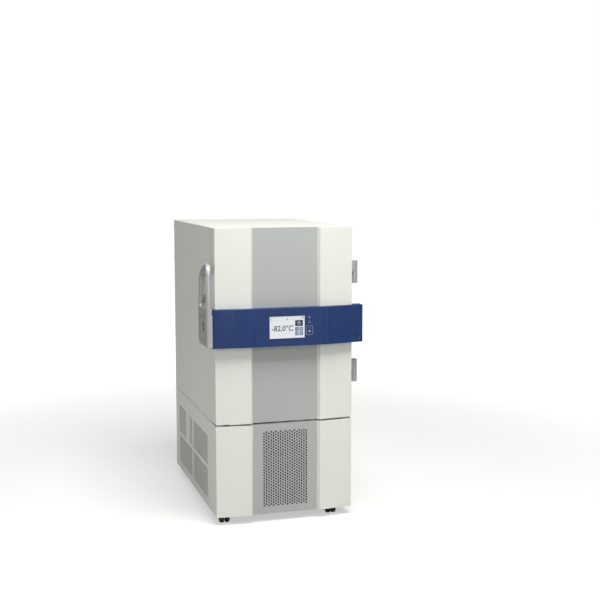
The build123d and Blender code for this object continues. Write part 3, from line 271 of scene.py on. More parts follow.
def makeBrushedGroup():
    group, start, end = makeGroup(
        "brushedGrain",
        [("Colour", "NodeSocketColor", (0.6, 0.6, 0.6, 1)), ("Grain Scale", "NodeSocketFloat", 60.0),
         ("Contrast", "NodeSocketFloat", 0.1), ("Roughness", "NodeSocketFloat", 0.35)],
        [("Colour", "NodeSocketColor"), ("Roughness", "NodeSocketFloat"), ("Height", "NodeSocketFloat")],
    )
    grain = objectNoise(group, start.outputs["Grain Scale"], 4, stretch=(1.0, 1.0, 28.0))
    patch = objectNoise(group, None, 3)
    patch.inputs["Scale"].default_value = 5
    low = addNode(group, "ShaderNodeMath", operation="SUBTRACT")
    low.inputs[0].default_value = 1
    group.links.new(start.outputs["Contrast"], low.inputs[1])
    shade = mapRange(group, grain.outputs["Fac"], 0.3, 0.7, low.outputs[0], 1.0)
    tinted = addNode(group, "ShaderNodeVectorMath", operation="SCALE")
    group.links.new(start.outputs["Colour"], tinted.inputs[0])
    group.links.new(shade, tinted.inputs["Scale"])
    group.links.new(tinted.outputs[0], end.inputs["Colour"])
    rough = addNode(group, "ShaderNodeMath", operation="MULTIPLY_ADD")
    group.links.new(mapRange(group, patch.outputs["Fac"], 0.3, 0.7, -0.08, 0.08), rough.inputs[0])
    rough.inputs[1].default_value = 1.0
    group.links.new(start.outputs["Roughness"], rough.inputs[2])
    group.links.new(rough.outputs[0], end.inputs["Roughness"])
    group.links.new(grain.outputs["Fac"], end.inputs["Height"])
    return group


def makeMouldedGroup():
    group, start, end = makeGroup(
        "mouldedGrain",
        [("Colour", "NodeSocketColor", (0.2, 0.2, 0.2, 1)), ("Grain Scale", "NodeSocketFloat", 1400.0),
         ("Roughness", "NodeSocketFloat", 0.5), ("Dust", "NodeSocketFloat", 0.1)],
        [("Colour", "NodeSocketColor"), ("Roughness", "NodeSocketFloat"), ("Height", "NodeSocketFloat")],
    )
    place = addNode(group, "ShaderNodeTexCoord")
    grain = addNode(group, "ShaderNodeTexVoronoi")
    group.links.new(place.outputs["Object"], grain.inputs["Vector"])
    group.links.new(start.outputs["Grain Scale"], grain.inputs["Scale"])
    film = objectNoise(group, None, 5)
    film.inputs["Scale"].default_value = 30
    shape = addNode(group, "ShaderNodeNewGeometry")
    facing = addNode(group, "ShaderNodeSeparateXYZ")
    group.links.new(shape.outputs["Normal"], facing.inputs[0])
    dusty = addNode(group, "ShaderNodeMath", operation="MULTIPLY", use_clamp=True)
    group.links.new(mapRange(group, facing.outputs["Z"], 0.2, 1.0, 0.15, 1.0), dusty.inputs[0])
    group.links.new(start.outputs["Dust"], dusty.inputs[1])
    patchy = addNode(group, "ShaderNodeMath", operation="MULTIPLY", use_clamp=True)
    group.links.new(dusty.outputs[0], patchy.inputs[0])
    group.links.new(mapRange(group, film.outputs["Fac"], 0.35, 0.65, 0.3, 1.0), patchy.inputs[1])
    group.links.new(mixColour(group, patchy.outputs[0], start.outputs["Colour"], (0.45, 0.44, 0.42)),
                    end.inputs["Colour"])
    rough = addNode(group, "ShaderNodeMath", operation="MULTIPLY_ADD")
    group.links.new(mapRange(group, film.outputs["Fac"], 0.3, 0.7, -0.06, 0.06), rough.inputs[0])
    rough.inputs[1].default_value = 1.0
    group.links.new(start.outputs["Roughness"], rough.inputs[2])
    group.links.new(rough.outputs[0], end.inputs["Roughness"])
    group.links.new(grain.outputs["Distance"], end.inputs["Height"])
    return group


paintGroup = makePaintGroup()
brushedGroup = makeBrushedGroup()
mouldedGroup = makeMouldedGroup()
print("shader groups built")


# Materials

def groupMaterial(name, group, values, bump=0.1, bumpDistance=0.0002, **shaderValues):
    material = bpy.data.materials.new(name)
    material.use_nodes = True
    tree = material.node_tree
    shader = tree.nodes["Principled BSDF"]
    block = tree.nodes.new("ShaderNodeGroup")
    block.node_tree = group
    for label, value in values.items():
        block.inputs[label].default_value = (*value, 1) if isinstance(value, tuple) else value
    tree.links.new(block.outputs["Colour"], shader.inputs["Base Color"])
    tree.links.new(block.outputs["Roughness"], shader.inputs["Roughness"])
    relief = tree.nodes.new("ShaderNodeBump")
    relief.inputs["Strength"].default_value = bump
    relief.inputs["Distance"].default_value = bumpDistance
    tree.links.new(block.outputs["Height"], relief.inputs["Height"])
    tree.links.new(relief.outputs["Normal"], shader.inputs["Normal"])
    for label, value in shaderValues.items():
        shader.inputs[label.replace("_", " ")].default_value = value
    return material


paint = {
    "white": (0.83, 0.83, 0.77),
    "centreGrey": (0.46, 0.475, 0.455),
    "bandBlue": (0.014, 0.040, 0.150),
    "handleGrey": (0.60, 0.60, 0.595),
    "hingeGrey": (0.50, 0.50, 0.48),
}

def paintMaterial(name, colour, peel, cloud, roughness, spread, wear, bump, distance, **shaderValues):
    values = {"Colour": colour, "Peel Scale": peel, "Cloud Amount": cloud, "Roughness": roughness,
              "Roughness Spread": spread, "Wear": wear}
    return groupMaterial(name, paintGroup, values, bump, distance, **shaderValues)


def metalMaterial(name, colour, grain, contrast, roughness, bump, distance, **shaderValues):
    values = {"Colour": colour, "Grain Scale": grain, "Contrast": contrast, "Roughness": roughness}
    return groupMaterial(name, brushedGroup, values, bump, distance, **shaderValues)


def mouldedMaterial(name, colour, grain, roughness, dust, bump, distance=0.0001, **shaderValues):
    values = {"Colour": colour, "Grain Scale": grain, "Roughness": roughness, "Dust": dust}
    return groupMaterial(name, mouldedGroup, values, bump, distance, **shaderValues)


whitePaint = paintMaterial("whitePaint", paint["white"], 620.0, 0.02, 0.36, 0.07, 0.12, 0.06, 0.0003,
                           Specular_IOR_Level=0.4)
centrePaint = paintMaterial("centrePaint", paint["centreGrey"], 760.0, 0.03, 0.4, 0.08, 0.15, 0.06, 0.0003,
                            Specular_IOR_Level=0.4)
bandPaint = paintMaterial("bandPaint", paint["bandBlue"], 900.0, 0.05, 0.42, 0.1, 0.1, 0.05, 0.0002,
                          Specular_IOR_Level=0.35)
handlePaint = paintMaterial("handlePaint", paint["handleGrey"], 900.0, 0.04, 0.33, 0.1, 0.25, 0.05, 0.0002,
                            Metallic=0.6)
hingePaint = paintMaterial("hingePaint", paint["hingeGrey"], 900.0, 0.04, 0.35, 0.1, 0.3, 0.05, 0.0002, Metallic=0.35)
linerSteel = metalMaterial("linerSteel", (0.55, 0.56, 0.57), 50.0, 0.16, 0.34, 0.12, 0.0001, Metallic=1.0)
zincSteel = metalMaterial("zincSteel", (0.52, 0.52, 0.53), 90.0, 0.22, 0.42, 0.12, 0.0001, Metallic=1.0)
millAluminium = metalMaterial("millAluminium", (0.68, 0.69, 0.70), 120.0, 0.12, 0.36, 0.1, 0.0001, Metallic=1.0)
copperTube = metalMaterial("copperTube", (0.70, 0.30, 0.15), 70.0, 0.3, 0.36, 0.1, 0.0001, Metallic=1.0)
innerPlastic = mouldedMaterial("innerPlastic", (0.74, 0.76, 0.77), 900.0, 0.42, 0.0, 0.05)
gasketRubber = mouldedMaterial("gasketRubber", (0.16, 0.16, 0.16), 1600.0, 0.62, 0.12, 0.1)
blackPlastic = mouldedMaterial("blackPlastic", (0.012, 0.012, 0.013), 1400.0, 0.5, 0.08, 0.12)
wheelPlastic = mouldedMaterial("wheelPlastic", (0.014, 0.014, 0.014), 1100.0, 0.55, 0.1, 0.12)
plugRubber = mouldedMaterial("plugRubber", (0.72, 0.72, 0.69), 1200.0, 0.6, 0.1, 0.1)
compressorBlack = paintMaterial("compressorBlack", (0.012, 0.012, 0.012), 300.0, 0.2, 0.28, 0.12, 0.25, 0.15, 0.0005)
foamCore = mouldedMaterial("foamCore", (0.72, 0.60, 0.33), 420.0, 0.9, 0.0, 0.35, 0.0006)
filterMat = mouldedMaterial("filterMat", (0.035, 0.036, 0.038), 700.0, 0.95, 0.1, 0.6, 0.0008)
displayFrame = mouldedMaterial("displayFrame", (0.72, 0.74, 0.76), 1800.0, 0.3, 0.0, 0.03)
displayDark = mouldedMaterial("displayDark", (0.03, 0.045, 0.11), 1800.0, 0.35, 0.0, 0.02)
displayLine = mouldedMaterial("displayLine", (0.13, 0.18, 0.31), 1800.0, 0.4, 0.0, 0.02)
# Near-black of the lock surround; the same material is painted shade for the keyhole and the screw slots.
blackLockAndSlotShade = mouldedMaterial("blackLockAndSlotShade", (0.010, 0.010, 0.011), 1500.0, 0.75, 0.03, 0.1, Specular_IOR_Level=0.15)
displayFaint = mouldedMaterial("displayFaint", (0.42, 0.48, 0.58), 1800.0, 0.4, 0.0, 0.02)
displayInk = mouldedMaterial("displayInk", (0.045, 0.05, 0.06), 1800.0, 0.4, 0.0, 0.02)
bandInk = mouldedMaterial("bandInk", (0.44, 0.50, 0.68), 1800.0, 0.45, 0.0, 0.02)


def makePanelMaterial():
    material = groupMaterial("displayPanel", mouldedGroup, {
        "Colour": (0.62, 0.64, 0.66), "Grain Scale": 2000.0, "Roughness": 0.25, "Dust": 0.0},
        bump=0.01, bumpDistance=0.0001, Coat_Weight=0.3, Coat_Roughness=0.08)
    tree = material.node_tree
    shader = tree.nodes["Principled BSDF"]
    place = addNode(tree, "ShaderNodeTexCoord")
    rows = addNode(tree, "ShaderNodeTexWave", wave_type="BANDS", bands_direction="Z")
    rows.inputs["Scale"].default_value = 900
    tree.links.new(place.outputs["Object"], rows.inputs["Vector"])
    tone = mixColour(tree, rows.outputs["Fac"], (0.80, 0.84, 0.88), (0.90, 0.92, 0.94))
    tree.links.new(tone, shader.inputs["Emission Color"])
    shader.inputs["Emission Strength"].default_value = 0.22
    return material


displayPanel = makePanelMaterial()

nodeMaterials = {
    whitePaint: ["cabinet_shell", "door_shell", "cover_wings", "left_side_panel", "right_side_panel", "rear_panel"],
    centrePaint: ["door_centre_strip", "cover_grille"],
    bandPaint: ["control_band"],
    handlePaint: ["handle_lever", "lock_housing"],
    hingePaint: ["door_hinge_leaves", "cabinet_hinge_leaves"],
    linerSteel: ["cabinet_liner", "shelves"],
    zincSteel: ["shelf_clips", "inner_hinge_brackets", "hinge_pins", "latch_hook", "striker", "lever_pin",
                "lock_cylinder", "base_pan", "corner_posts", "castor_plates"],
    millAluminium: ["condenser"],
    copperTube: ["evaporator_coil", "refrigerant_pipes"],
    innerPlastic: ["breaker_frame", "inner_stop_frame", "upper_inner_door", "lower_inner_door", "port_sleeve",
                   "door_liner"],
    gasketRubber: ["door_gasket", "compressor_feet"],
    blackPlastic: ["lock_escutcheon", "power_inlet", "fan_shroud", "fan_rotor", "fan_motor", "control_box",
                   "brake_front_left", "brake_front_right"],
    plugRubber: ["port_plug"],
    compressorBlack: ["first_compressor", "second_compressor"],
    foamCore: ["cabinet_foam", "door_foam"],
    filterMat: ["air_filter"],
    displayFrame: ["touch_screen"],
}
castorPlaces = ("front_left", "front_right", "rear_left", "rear_right")


def dress(piece, material):
    piece.data.materials.clear()
    piece.data.materials.append(material)


def dressNodes():
    for material, names in nodeMaterials.items():
        for name in names:
            dress(nodes[name], material)
    for place in castorPlaces:
        dress(nodes["fork_" + place], zincSteel)
        dress(nodes["wheels_" + place], wheelPlastic)


dressNodes()
print("materials built")


# Ways of making pieces

drawing = {"originX": 361.0, "originY": 532.65}  # the door's lower left corner is the drawing's zero

bodyOf = {name: body for body, names in frame["record"]["behaviour"]["bodies"].items() for name in names}
materialOf = {name: material for material, names in nodeMaterials.items() for name in names}
for place in castorPlaces:
    materialOf["fork_" + place] = zincSteel
    materialOf["wheels_" + place] = wheelPlastic


def at(x, y, z):
    return Vector(((x - drawing["originX"]) / 1000, (y - drawing["originY"]) / 1000, z / 1000))


def addPiece(name, mesh, material, body, replaced=()):
    piece = bpy.data.objects.new(name, mesh)
    scene.collection.objects.link(piece)
    dress(piece, material)
    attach(piece, body)
    if replaced:
        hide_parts(*replaced)
    return piece


def pieceLike(name, node, mesh, material=None, replaced=False):
    return addPiece(name, mesh, material or materialOf[node], bodyOf[node], (node,) if replaced else ())


def meshOf(bm, name, sharp=35):
    bmesh.ops.recalc_face_normals(bm, faces=bm.faces)
    mesh = bpy.data.meshes.new(name)
    bm.to_mesh(mesh)
    bm.free()
    mesh.shade_smooth()
    mesh.set_sharp_from_angle(angle=math.radians(sharp))
    return mesh


def bevelled(piece, width, segments=2, angle=30):
    bevel = piece.modifiers.new("bevel", "BEVEL")
    bevel.width = width / 1000
    bevel.segments = segments
    bevel.limit_method = "ANGLE"
    bevel.angle_limit = math.radians(angle)
    bevel.use_clamp_overlap = True
    bevel.harden_normals = True
    return piece


def plainMesh(node, flat=0.6):
    bm = bmesh.new()
    bm.from_mesh(nodes[node].data)
    bmesh.ops.remove_doubles(bm, verts=bm.verts, dist=2e-5)
    bmesh.ops.dissolve_limit(bm, angle_limit=math.radians(flat), verts=bm.verts, edges=bm.edges)
    return bm


def softened(node, width, segments=2, angle=30):
    words = node.split("_")
    name = words[0] + "".join(word.capitalize() for word in words[1:]) + "Skin"
    bm = plainMesh(node)
    if node == "control_band":  # its flat front makes room for the marks printed on it
        for vert in bm.verts:
            if vert.co.y < at(0, -54.9, 0).y:
                vert.co.y += 0.00015
    piece = pieceLike(name, node, meshOf(bm, name, angle), replaced=True)
    return bevelled(piece, width, segments, angle)


def addBox(bm, low, high):
    corners = [bm.verts.new((x, y, z)) for x in (low[0], high[0]) for y in (low[1], high[1]) for z in (low[2],
                                                                                                       high[2])]
    for face in ((0, 1, 3, 2), (4, 6, 7, 5), (0, 4, 5, 1), (2, 3, 7, 6), (0, 2, 6, 4), (1, 5, 7, 3)):
        bm.faces.new([corners[n] for n in face])


def addLathe(bm, centre, axis, profile, sides=48):
    turnTo = Vector(axis).to_track_quat("Z", "Y").to_matrix()
    rings = []
    for radius, height in profile:
        if radius == 0:
            rings.append([bm.verts.new(centre + turnTo @ Vector((0, 0, height / 1000)))])
            continue
        ring = []
        for n in range(sides):
            angle = 2 * math.pi * n / sides
            offset = Vector((radius * math.cos(angle), radius * math.sin(angle), height)) / 1000
            ring.append(bm.verts.new(centre + turnTo @ offset))
        rings.append(ring)
    for low, high in zip(rings, rings[1:]):
        for n in range(sides):
            nextN = (n + 1) % sides
            if len(low) == 1 and len(high) == 1:
                continue
            if len(low) == 1:
                bm.faces.new((low[0], high[n], high[nextN]))
            elif len(high) == 1:
                bm.faces.new((low[n], low[nextN], high[0]))
            else:
                bm.faces.new((low[n], low[nextN], high[nextN], high[n]))


def bentRoute(points, bend, steps=6):
    route = [points[0]]
    for before, corner, after in zip(points, points[1:], points[2:]):
        toBefore = (before - corner).normalized()
        toAfter = (after - corner).normalized()
        start = corner + toBefore * bend
        end = corner + toAfter * bend
        for n in range(steps + 1):
            share = n / steps
            route.append(start * (1 - share) ** 2 + corner * 2 * share * (1 - share) + end * share ** 2)
    route.append(points[-1])
    return route


def addTube(bm, route, radius, sides=16):
    rings = []
    side = None
    for n, point in enumerate(route):
        ahead = (route[min(n + 1, len(route) - 1)] - route[max(n - 1, 0)]).normalized()
        if side is None:
            side = ahead.orthogonal().normalized()
        side = (side - ahead * side.dot(ahead)).normalized()
        other = ahead.cross(side)
        ring = []
        for k in range(sides):
            angle = 2 * math.pi * k / sides
            ring.append(bm.verts.new(point + (side * math.cos(angle) + other * math.sin(angle)) * radius))
        rings.append(ring)
    for low, high in zip(rings, rings[1:]):
        for k in range(sides):
            nextK = (k + 1) % sides
            bm.faces.new((low[k], low[nextK], high[nextK], high[k]))
    bm.faces.new(list(reversed(rings[0])))
    bm.faces.new(rings[-1])


def addPlate(bm, outline, toPlace, front, back):
    near = [bm.verts.new(toPlace(u, v, front)) for u, v in outline]
    far = [bm.verts.new(toPlace(u, v, back)) for u, v in outline]
    bm.faces.new(near)
    bm.faces.new(list(reversed(far)))
    count = len(outline)
    for n in range(count):
        bm.faces.new((near[n], far[n], far[(n + 1) % count], near[(n + 1) % count]))


def roundedOutline(low, high, radius, steps=5):
    outline = []
    corners = ((high[0] - radius, high[1] - radius, 0), (low[0] + radius, high[1] - radius, 90),
               (low[0] + radius, low[1] + radius, 180), (high[0] - radius, low[1] + radius, 270))
    for u, v, start in corners:
        for n in range(steps + 1):
            angle = math.radians(start + 90 * n / steps)
            outline.append((u + radius * math.cos(angle), v + radius * math.sin(angle)))
    return outline


def addPerforated(bm, span, windows, holes, toPlace, front, back):
    def quad(points):
        for depth, turned in ((front, False), (back, True)):
            corners = [bm.verts.new(toPlace(u, v, depth)) for u, v in points]
            bm.faces.new(list(reversed(corners)) if turned else corners)

    def holeCell(u, v, halfU, halfV):
        sides = holes["sides"]
        ring = [(u + holes["radius"] * math.cos(2 * math.pi * (n + 0.5) / sides),
                 v + holes["radius"] * math.sin(2 * math.pi * (n + 0.5) / sides)) for n in range(sides)]
        near = [bm.verts.new(toPlace(a, b, front)) for a, b in ring]
        far = [bm.verts.new(toPlace(a, b, back)) for a, b in ring]
        for n in range(sides):
            bm.faces.new((near[n], near[(n + 1) % sides], far[(n + 1) % sides], far[n]))
        quarter = sides // 4
        for k, (du, dv) in enumerate(((1, 1), (-1, 1), (-1, -1), (1, -1))):
            mids = ((halfU * du, 0), (0, halfV * dv)) if k % 2 == 0 else ((0, halfV * dv), (halfU * du, 0))
            border = [(u + mids[1][0], v + mids[1][1]), (u + halfU * du, v + halfV * dv), (u + mids[0][0],
                                                                                           v + mids[0][1])]
            picked = [(k * quarter - 1 + n) % sides for n in range(quarter + 2)]
            arc = picked[1:-1] if quarter > 1 else picked[1:]
            for depth, circle, turned in ((front, near, False), (back, far, True)):
                loop = [circle[n] for n in arc] + [bm.verts.new(toPlace(a, b, depth)) for a, b in border]
                bm.faces.new(list(reversed(loop)) if turned else loop)

    us = sorted({span[0][0], span[0][1], *(edge for window in windows for edge in window[0])})
    vs = sorted({span[1][0], span[1][1], *(edge for window in windows for edge in window[1])})
    for u0, u1 in zip(us, us[1:]):
        for v0, v1 in zip(vs, vs[1:]):
            middle = ((u0 + u1) / 2, (v0 + v1) / 2)
            if not any(w[0][0] < middle[0] < w[0][1] and w[1][0] < middle[1] < w[1][1] for w in windows):
                quad(((u0, v0), (u1, v0), (u1, v1), (u0, v1)))
    for (left, right), (low, high) in windows:
        rows = int((high - low) // holes["rowPitch"])
        halfV = (high - low) / rows / 2
        columns = int((right - left) // holes["pitch"])
        halfU = (right - left) / (columns + 0.5) / 2
        for r in range(rows):
            v = low + halfV * (2 * r + 1)
            shift = halfU if r % 2 else 0
            for c in range(columns):
                holeCell(left + shift + halfU * (2 * c + 1), v, halfU, halfV)
            blank = (left, left + halfU) if r % 2 else (right - halfU, right)
            quad(((blank[0], v - halfV), (blank[1], v - halfV), (blank[1], v + halfV), (blank[0], v + halfV)))
    edge = [(span[0][0], span[1][0]), (span[0][1], span[1][0]), (span[0][1], span[1][1]), (span[0][0], span[1][1])]
    for (u0, v0), (u1, v1) in zip(edge, edge[1:] + edge[:1]):
        points = ((u0, v0, front), (u1, v1, front), (u1, v1, back), (u0, v0, back))
        bm.faces.new([bm.verts.new(toPlace(*point)) for point in points])


print("tools ready")


# Sheet and moulded pieces with softened edges

edgeWidths = {  # millimetres
    "cabinet_shell": 1.4, "door_shell": 1.8, "door_centre_strip": 0.5, "cover_wings": 1.6, "breaker_frame": 0.6,
    "inner_stop_frame": 0.6, "cabinet_foam": 0.8, "door_foam": 0.8, "door_liner": 1.0, "control_band": 2.2,
    "latch_hook": 0.8, "lever_pin": 0.5, "striker": 0.5,
    "door_hinge_leaves": 1.0, "cabinet_hinge_leaves": 1.0, "hinge_pins": 0.4, "inner_hinge_brackets": 0.5,
    "upper_inner_door": 2.4, "lower_inner_door": 2.4, "shelf_clips": 0.5, "shelves": 0.5, "base_pan": 0.8,
    "corner_posts": 0.6, "rear_panel": 0.4, "power_inlet": 0.5, "control_box": 1.2, "castor_plates": 0.6,
    "port_sleeve": 0.6, "port_plug": 1.0, "fan_shroud": 0.6, "fan_motor": 1.0, "brake_front_left": 0.6,
    "brake_front_right": 0.6, "air_filter": 0.8,
}


def softenAll():
    for node, width in edgeWidths.items():
        softened(node, width)
    for place in castorPlaces:
        softened("fork_" + place, 0.5)


softenAll()
print("softened pieces built")


# Perforated sheets of the machine compartment

perforation = {
    "grillePitch": 14.6, "grilleColumnPitch": 12.4, "grilleRadius": 4.6, "grilleSides": 16,
    "sidePitch": 11.5, "sideRowPitch": 9.6, "sideRadius": 4.25, "sideSides": 8,
    "grilleSpan": ((42, 510), (191.3, 528.7)), "sideSpan": ((22.3, 1106.2), (42, 512)),
    "hem": 14, "hemDepth": 6,
    "grilleField": ((77, 476), (242, 479)),  # heights first: the holes are staggered from column to column
    "sideWindows": (((203, 586), (86, 244)), ((203, 586), (264, 422)), ((622, 1005), (86, 244)),
                    ((622, 692), (264, 422)), ((805, 1005), (264, 422))),
}


def perforatedGrille():
    holes = {"pitch": perforation["grillePitch"], "rowPitch": perforation["grilleColumnPitch"],
             "radius": perforation["grilleRadius"], "sides": perforation["grilleSides"]}
    bm = bmesh.new()
    addPerforated(bm, perforation["grilleSpan"], [perforation["grilleField"]], holes,
                  lambda u, v, depth: at(v, depth, u), -5, -3.4)
    pieceLike("coverGrilleSheet", "cover_grille", meshOf(bm, "coverGrilleSheet"), replaced=True)
    bm = bmesh.new()
    for low, high in (((191.3, -3.4, 42), (196, -2, 510)), ((524, -3.4, 42), (528.7, -2, 510)),
                      ((196, -3.4, 42), (524, -2, 48)), ((196, -3.4, 504), (524, -2, 510))):
        addBox(bm, at(*low), at(*high))
    pieceLike("coverGrilleHem", "cover_grille", meshOf(bm, "coverGrilleHem"))


def perforatedSides():
    holes = {"pitch": perforation["sidePitch"], "rowPitch": perforation["sideRowPitch"],
             "radius": perforation["sideRadius"], "sides": perforation["sideSides"]}
    for node, outer, inner in (("left_side_panel", 0, 1.5), ("right_side_panel", 720, 718.5)):
        name = "left" if outer == 0 else "right"
        bm = bmesh.new()
        addPerforated(bm, perforation["sideSpan"], perforation["sideWindows"], holes,
                      lambda u, v, depth: at(depth, u, v), outer, inner)
        pieceLike(name + "SidePanelSheet", node, meshOf(bm, name + "SidePanelSheet"), replaced=True)
        bm = bmesh.new()
        (start, end), (low, high) = perforation["sideSpan"]
        hem = perforation["hem"]
        left, right = sorted((inner, inner + math.copysign(perforation["hemDepth"], inner - outer)))
        for y0, y1, z0, z1 in ((start, end, low, low + hem), (start, end, high - hem, high),
                               (592, 616, low + hem, high - hem)):
            addBox(bm, at(left, y0, z0), at(right, y1, z1))
        pieceLike(name + "SidePanelHems", node, meshOf(bm, name + "SidePanelHems"))


perforatedGrille()
perforatedSides()
print("perforated sheets built")


# Touch screen and the marks on the band

screenLook = {
    "left": 266.0, "right": 449.0, "low": 954.0, "high": 1064.5,
    "face": -54.8,  # rim of the screen, in front of the corners
    "rim": 3.2,
    "bandFace": -55.0,
    "words": "-82.0°C",
    "wordsPlace": ((277.5, 990.5), (388.0, 1019.5)),
}


def facePlate(bm, low, high, front, thickness, radius=1.5):
    addPlate(bm, roundedOutline(low, high, radius), lambda u, v, depth: at(u, depth, v), front, front + thickness)


def faceRing(bm, u, v, outer, inner, front, thickness, sides=40):
    for n in range(sides):
        a, b = 2 * math.pi * n / sides, 2 * math.pi * (n + 1) / sides
        outline = [(u + r * math.cos(t), v + r * math.sin(t)) for r, t in ((inner, a), (outer, a), (outer, b),
                                                                           (inner, b))]
        addPlate(bm, outline, lambda s, t, depth: at(s, depth, t), front, front + thickness)


def faceText(name, words, low, high, front, material, node):
    curve = bpy.data.curves.new(name, "FONT")
    curve.body = words
    curve.size = 1.0
    curve.offset = 0.012  # a little bolder than the plain letters
    curve.resolution_u = 6
    lettering = bpy.data.objects.new(name + "Curve", curve)
    scene.collection.objects.link(lettering)
    bpy.context.view_layer.update()
    mesh = bpy.data.meshes.new_from_object(lettering.evaluated_get(bpy.context.evaluated_depsgraph_get()))
    bpy.data.objects.remove(lettering)
    xs = [vert.co.x for vert in mesh.vertices]
    ys = [vert.co.y for vert in mesh.vertices]
    for vert in mesh.vertices:
        u = low[0] + (vert.co.x - min(xs)) / (max(xs) - min(xs)) * (high[0] - low[0])
        v = low[1] + (vert.co.y - min(ys)) / (max(ys) - min(ys)) * (high[1] - low[1])
        vert.co = at(u, front, v)
    mesh.name = name
    return pieceLike(name, node, mesh, material)


def screenPieces():
    look = screenLook
    left, right, low, high, face = look["left"], look["right"], look["low"], look["high"], look["face"]
    rim = look["rim"]
    bm = bmesh.new()
    for a, b in (((left, low), (right, low + rim)), ((left, high - rim), (right, high)),
                 ((left, low + rim), (left + rim, high - rim)), ((right - rim, low + rim), (right, high - rim))):
        addBox(bm, at(a[0], face, a[1]), at(b[0], face + 3, b[1]))
    bevelled(pieceLike("screenRim", "touch_screen", meshOf(bm, "screenRim"), displayFrame, replaced=True), 0.5)
    bm = bmesh.new()
    addBox(bm, at(left, face + 3, low), at(right, face + 16, high))
    bevelled(pieceLike("screenCase", "touch_screen", meshOf(bm, "screenCase"), blackPlastic), 0.8)
    bm = bmesh.new()
    addBox(bm, at(left + rim, face + 0.7, low + rim), at(right - rim, face + 3, high - rim))
    pieceLike("screenPanel", "touch_screen", meshOf(bm, "screenPanel"), displayPanel)
    top = face + 0.55
    bm = bmesh.new()
    facePlate(bm, (398.7, 1013.4), (439.7, 1043.4), top, 0.15, 2.5)
    pieceLike("screenMainTile", "touch_screen", meshOf(bm, "screenMainTile"), displayDark)
    bm = bmesh.new()
    for u in (398.7, 421.3):
        for v in (966.3, 988.9):
            facePlate(bm, (u, v), (u + 18.9, v + 19.8), top, 0.15, 2.0)
    pieceLike("screenTiles", "touch_screen", meshOf(bm, "screenTiles"), displayLine)
    bm = bmesh.new()
    mark = face + 0.4
    faceRing(bm, 419.2, 1028.4, 8.4, 6.6, mark, 0.15)
    facePlate(bm, (418.2, 1027.6), (419.9, 1034.5), mark, 0.15, 0.4)
    facePlate(bm, (418.2, 1027.6), (424.0, 1029.3), mark, 0.15, 0.4)
    faceRing(bm, 408.2, 998.8, 5.2, 3.9, mark, 0.15)
    for k in range(3):
        facePlate(bm, (425.0, 993.3 + 4.4 * k), (436.6, 995.2 + 4.4 * k), mark, 0.15, 0.4)
        facePlate(bm, (402.6 + 4.4 * k, 971.2), (404.9 + 4.4 * k, 975.6 + 3.2 * k), mark, 0.15, 0.4)
    faceRing(bm, 430.8, 976.2, 5.4, 4.2, mark, 0.15)
    faceRing(bm, 430.8, 976.2, 2.0, 0.2, mark, 0.15)
    pieceLike("screenTileMarks", "touch_screen", meshOf(bm, "screenTileMarks"), displayFrame)
    bm = bmesh.new()
    faceRing(bm, 275.6, 1051.0, 3.4, 2.2, top, 0.15)
    faceRing(bm, 357.6, 1051.0, 3.8, 2.6, top, 0.15)
    faceRing(bm, 357.6, 1051.0, 1.5, 0.2, top, 0.15)
    for k in range(4):
        facePlate(bm, (430.4 + 3.1 * k, 1052.4), (432.6 + 3.1 * k, 1054.6 + 1.7 * k), top, 0.15, 0.3)
    pieceLike("screenStatusMarks", "touch_screen", meshOf(bm, "screenStatusMarks"), displayInk)
    bm = bmesh.new()
    faceRing(bm, 278.6, 1037.6, 4.6, 3.8, top, 0.12)
    addPlate(bm, [(270.5, 1046.0), (444.5, 1046.0), (444.5, 1046.6), (270.5, 1046.6)],
             lambda u, v, depth: at(u, depth, v), top, top + 0.12)
    addPlate(bm, [(391.6, 962.0), (392.2, 962.0), (392.2, 1042.6), (391.6, 1042.6)],
             lambda u, v, depth: at(u, depth, v), top, top + 0.12)
    pieceLike("screenFaintMarks", "touch_screen", meshOf(bm, "screenFaintMarks"), displayFaint)
    faceText("screenTemperature", look["words"], *look["wordsPlace"], top, displayInk, "touch_screen")


def bandMarks():
    raised = screenLook["bandFace"]
    bm = bmesh.new()
    faceRing(bm, 473.9, 1055.7, 5.2, 4.1, raised, 0.1)
    faceRing(bm, 473.9, 1055.7, 1.7, 0.3, raised, 0.1)
    facePlate(bm, (467.6, 1027.4), (480.2, 1028.4), raised, 0.1, 0.3)
    for slope in (-1, 1):
        outline = [(473.9 + slope * 6.4, 1027.4), (473.9 + slope * 5.2, 1027.4), (473.9, 1037.0), (473.9, 1039.2)]
        addPlate(bm, outline, lambda u, v, depth: at(u, depth, v), raised, raised + 0.1)
    outer = roundedOutline((457.8, 966.8), (491.0, 1013.4), 5.0)
    inner = roundedOutline((458.9, 967.9), (489.9, 1012.3), 4.2)
    count = len(outer)
    for n in range(count):
        m = (n + 1) % count
        addPlate(bm, [inner[n], outer[n], outer[m], inner[m]], lambda u, v, depth: at(u, depth, v), raised,
                 raised + 0.1)
    faceRing(bm, 474.4, 985.4, 6.0, 4.9, raised, 0.1)
    faceRing(bm, 474.4, 985.4, 3.4, 0.3, raised, 0.1)
    facePlate(bm, (469.0, 1001.0), (479.8, 1002.2), raised, 0.1, 0.4)
    pieceLike("bandMarks", "control_band", meshOf(bm, "bandMarks"), bandInk)


screenPieces()
bandMarks()
print("screen built")


# Lever handle, its housing and the lock

handleLook = {
    "outerX": -52.0, "innerX": -28.0, "housingInnerX": -22.5,
    "edgeRound": 8.5, "innerEdge": 1.5, "openingRound": 3.0,
    "leverCircles": ((-24, 1096, 26), (156, 1073, 3), (0, 1284, 50), (47, 1215, 97)),
    "openingCircles": ((-10, 1124, 14), (108, 1124, 14), (8, 1262, 32), (50, 1224, 58)),
    "roundSteps": 7,
    "pivot": (-24, 1096), "cup": 27.5,  # the lever turns in this cup of the housing
    "lockCentre": (38, 1017), "lockStretch": 5, "lockSides": 48,
}


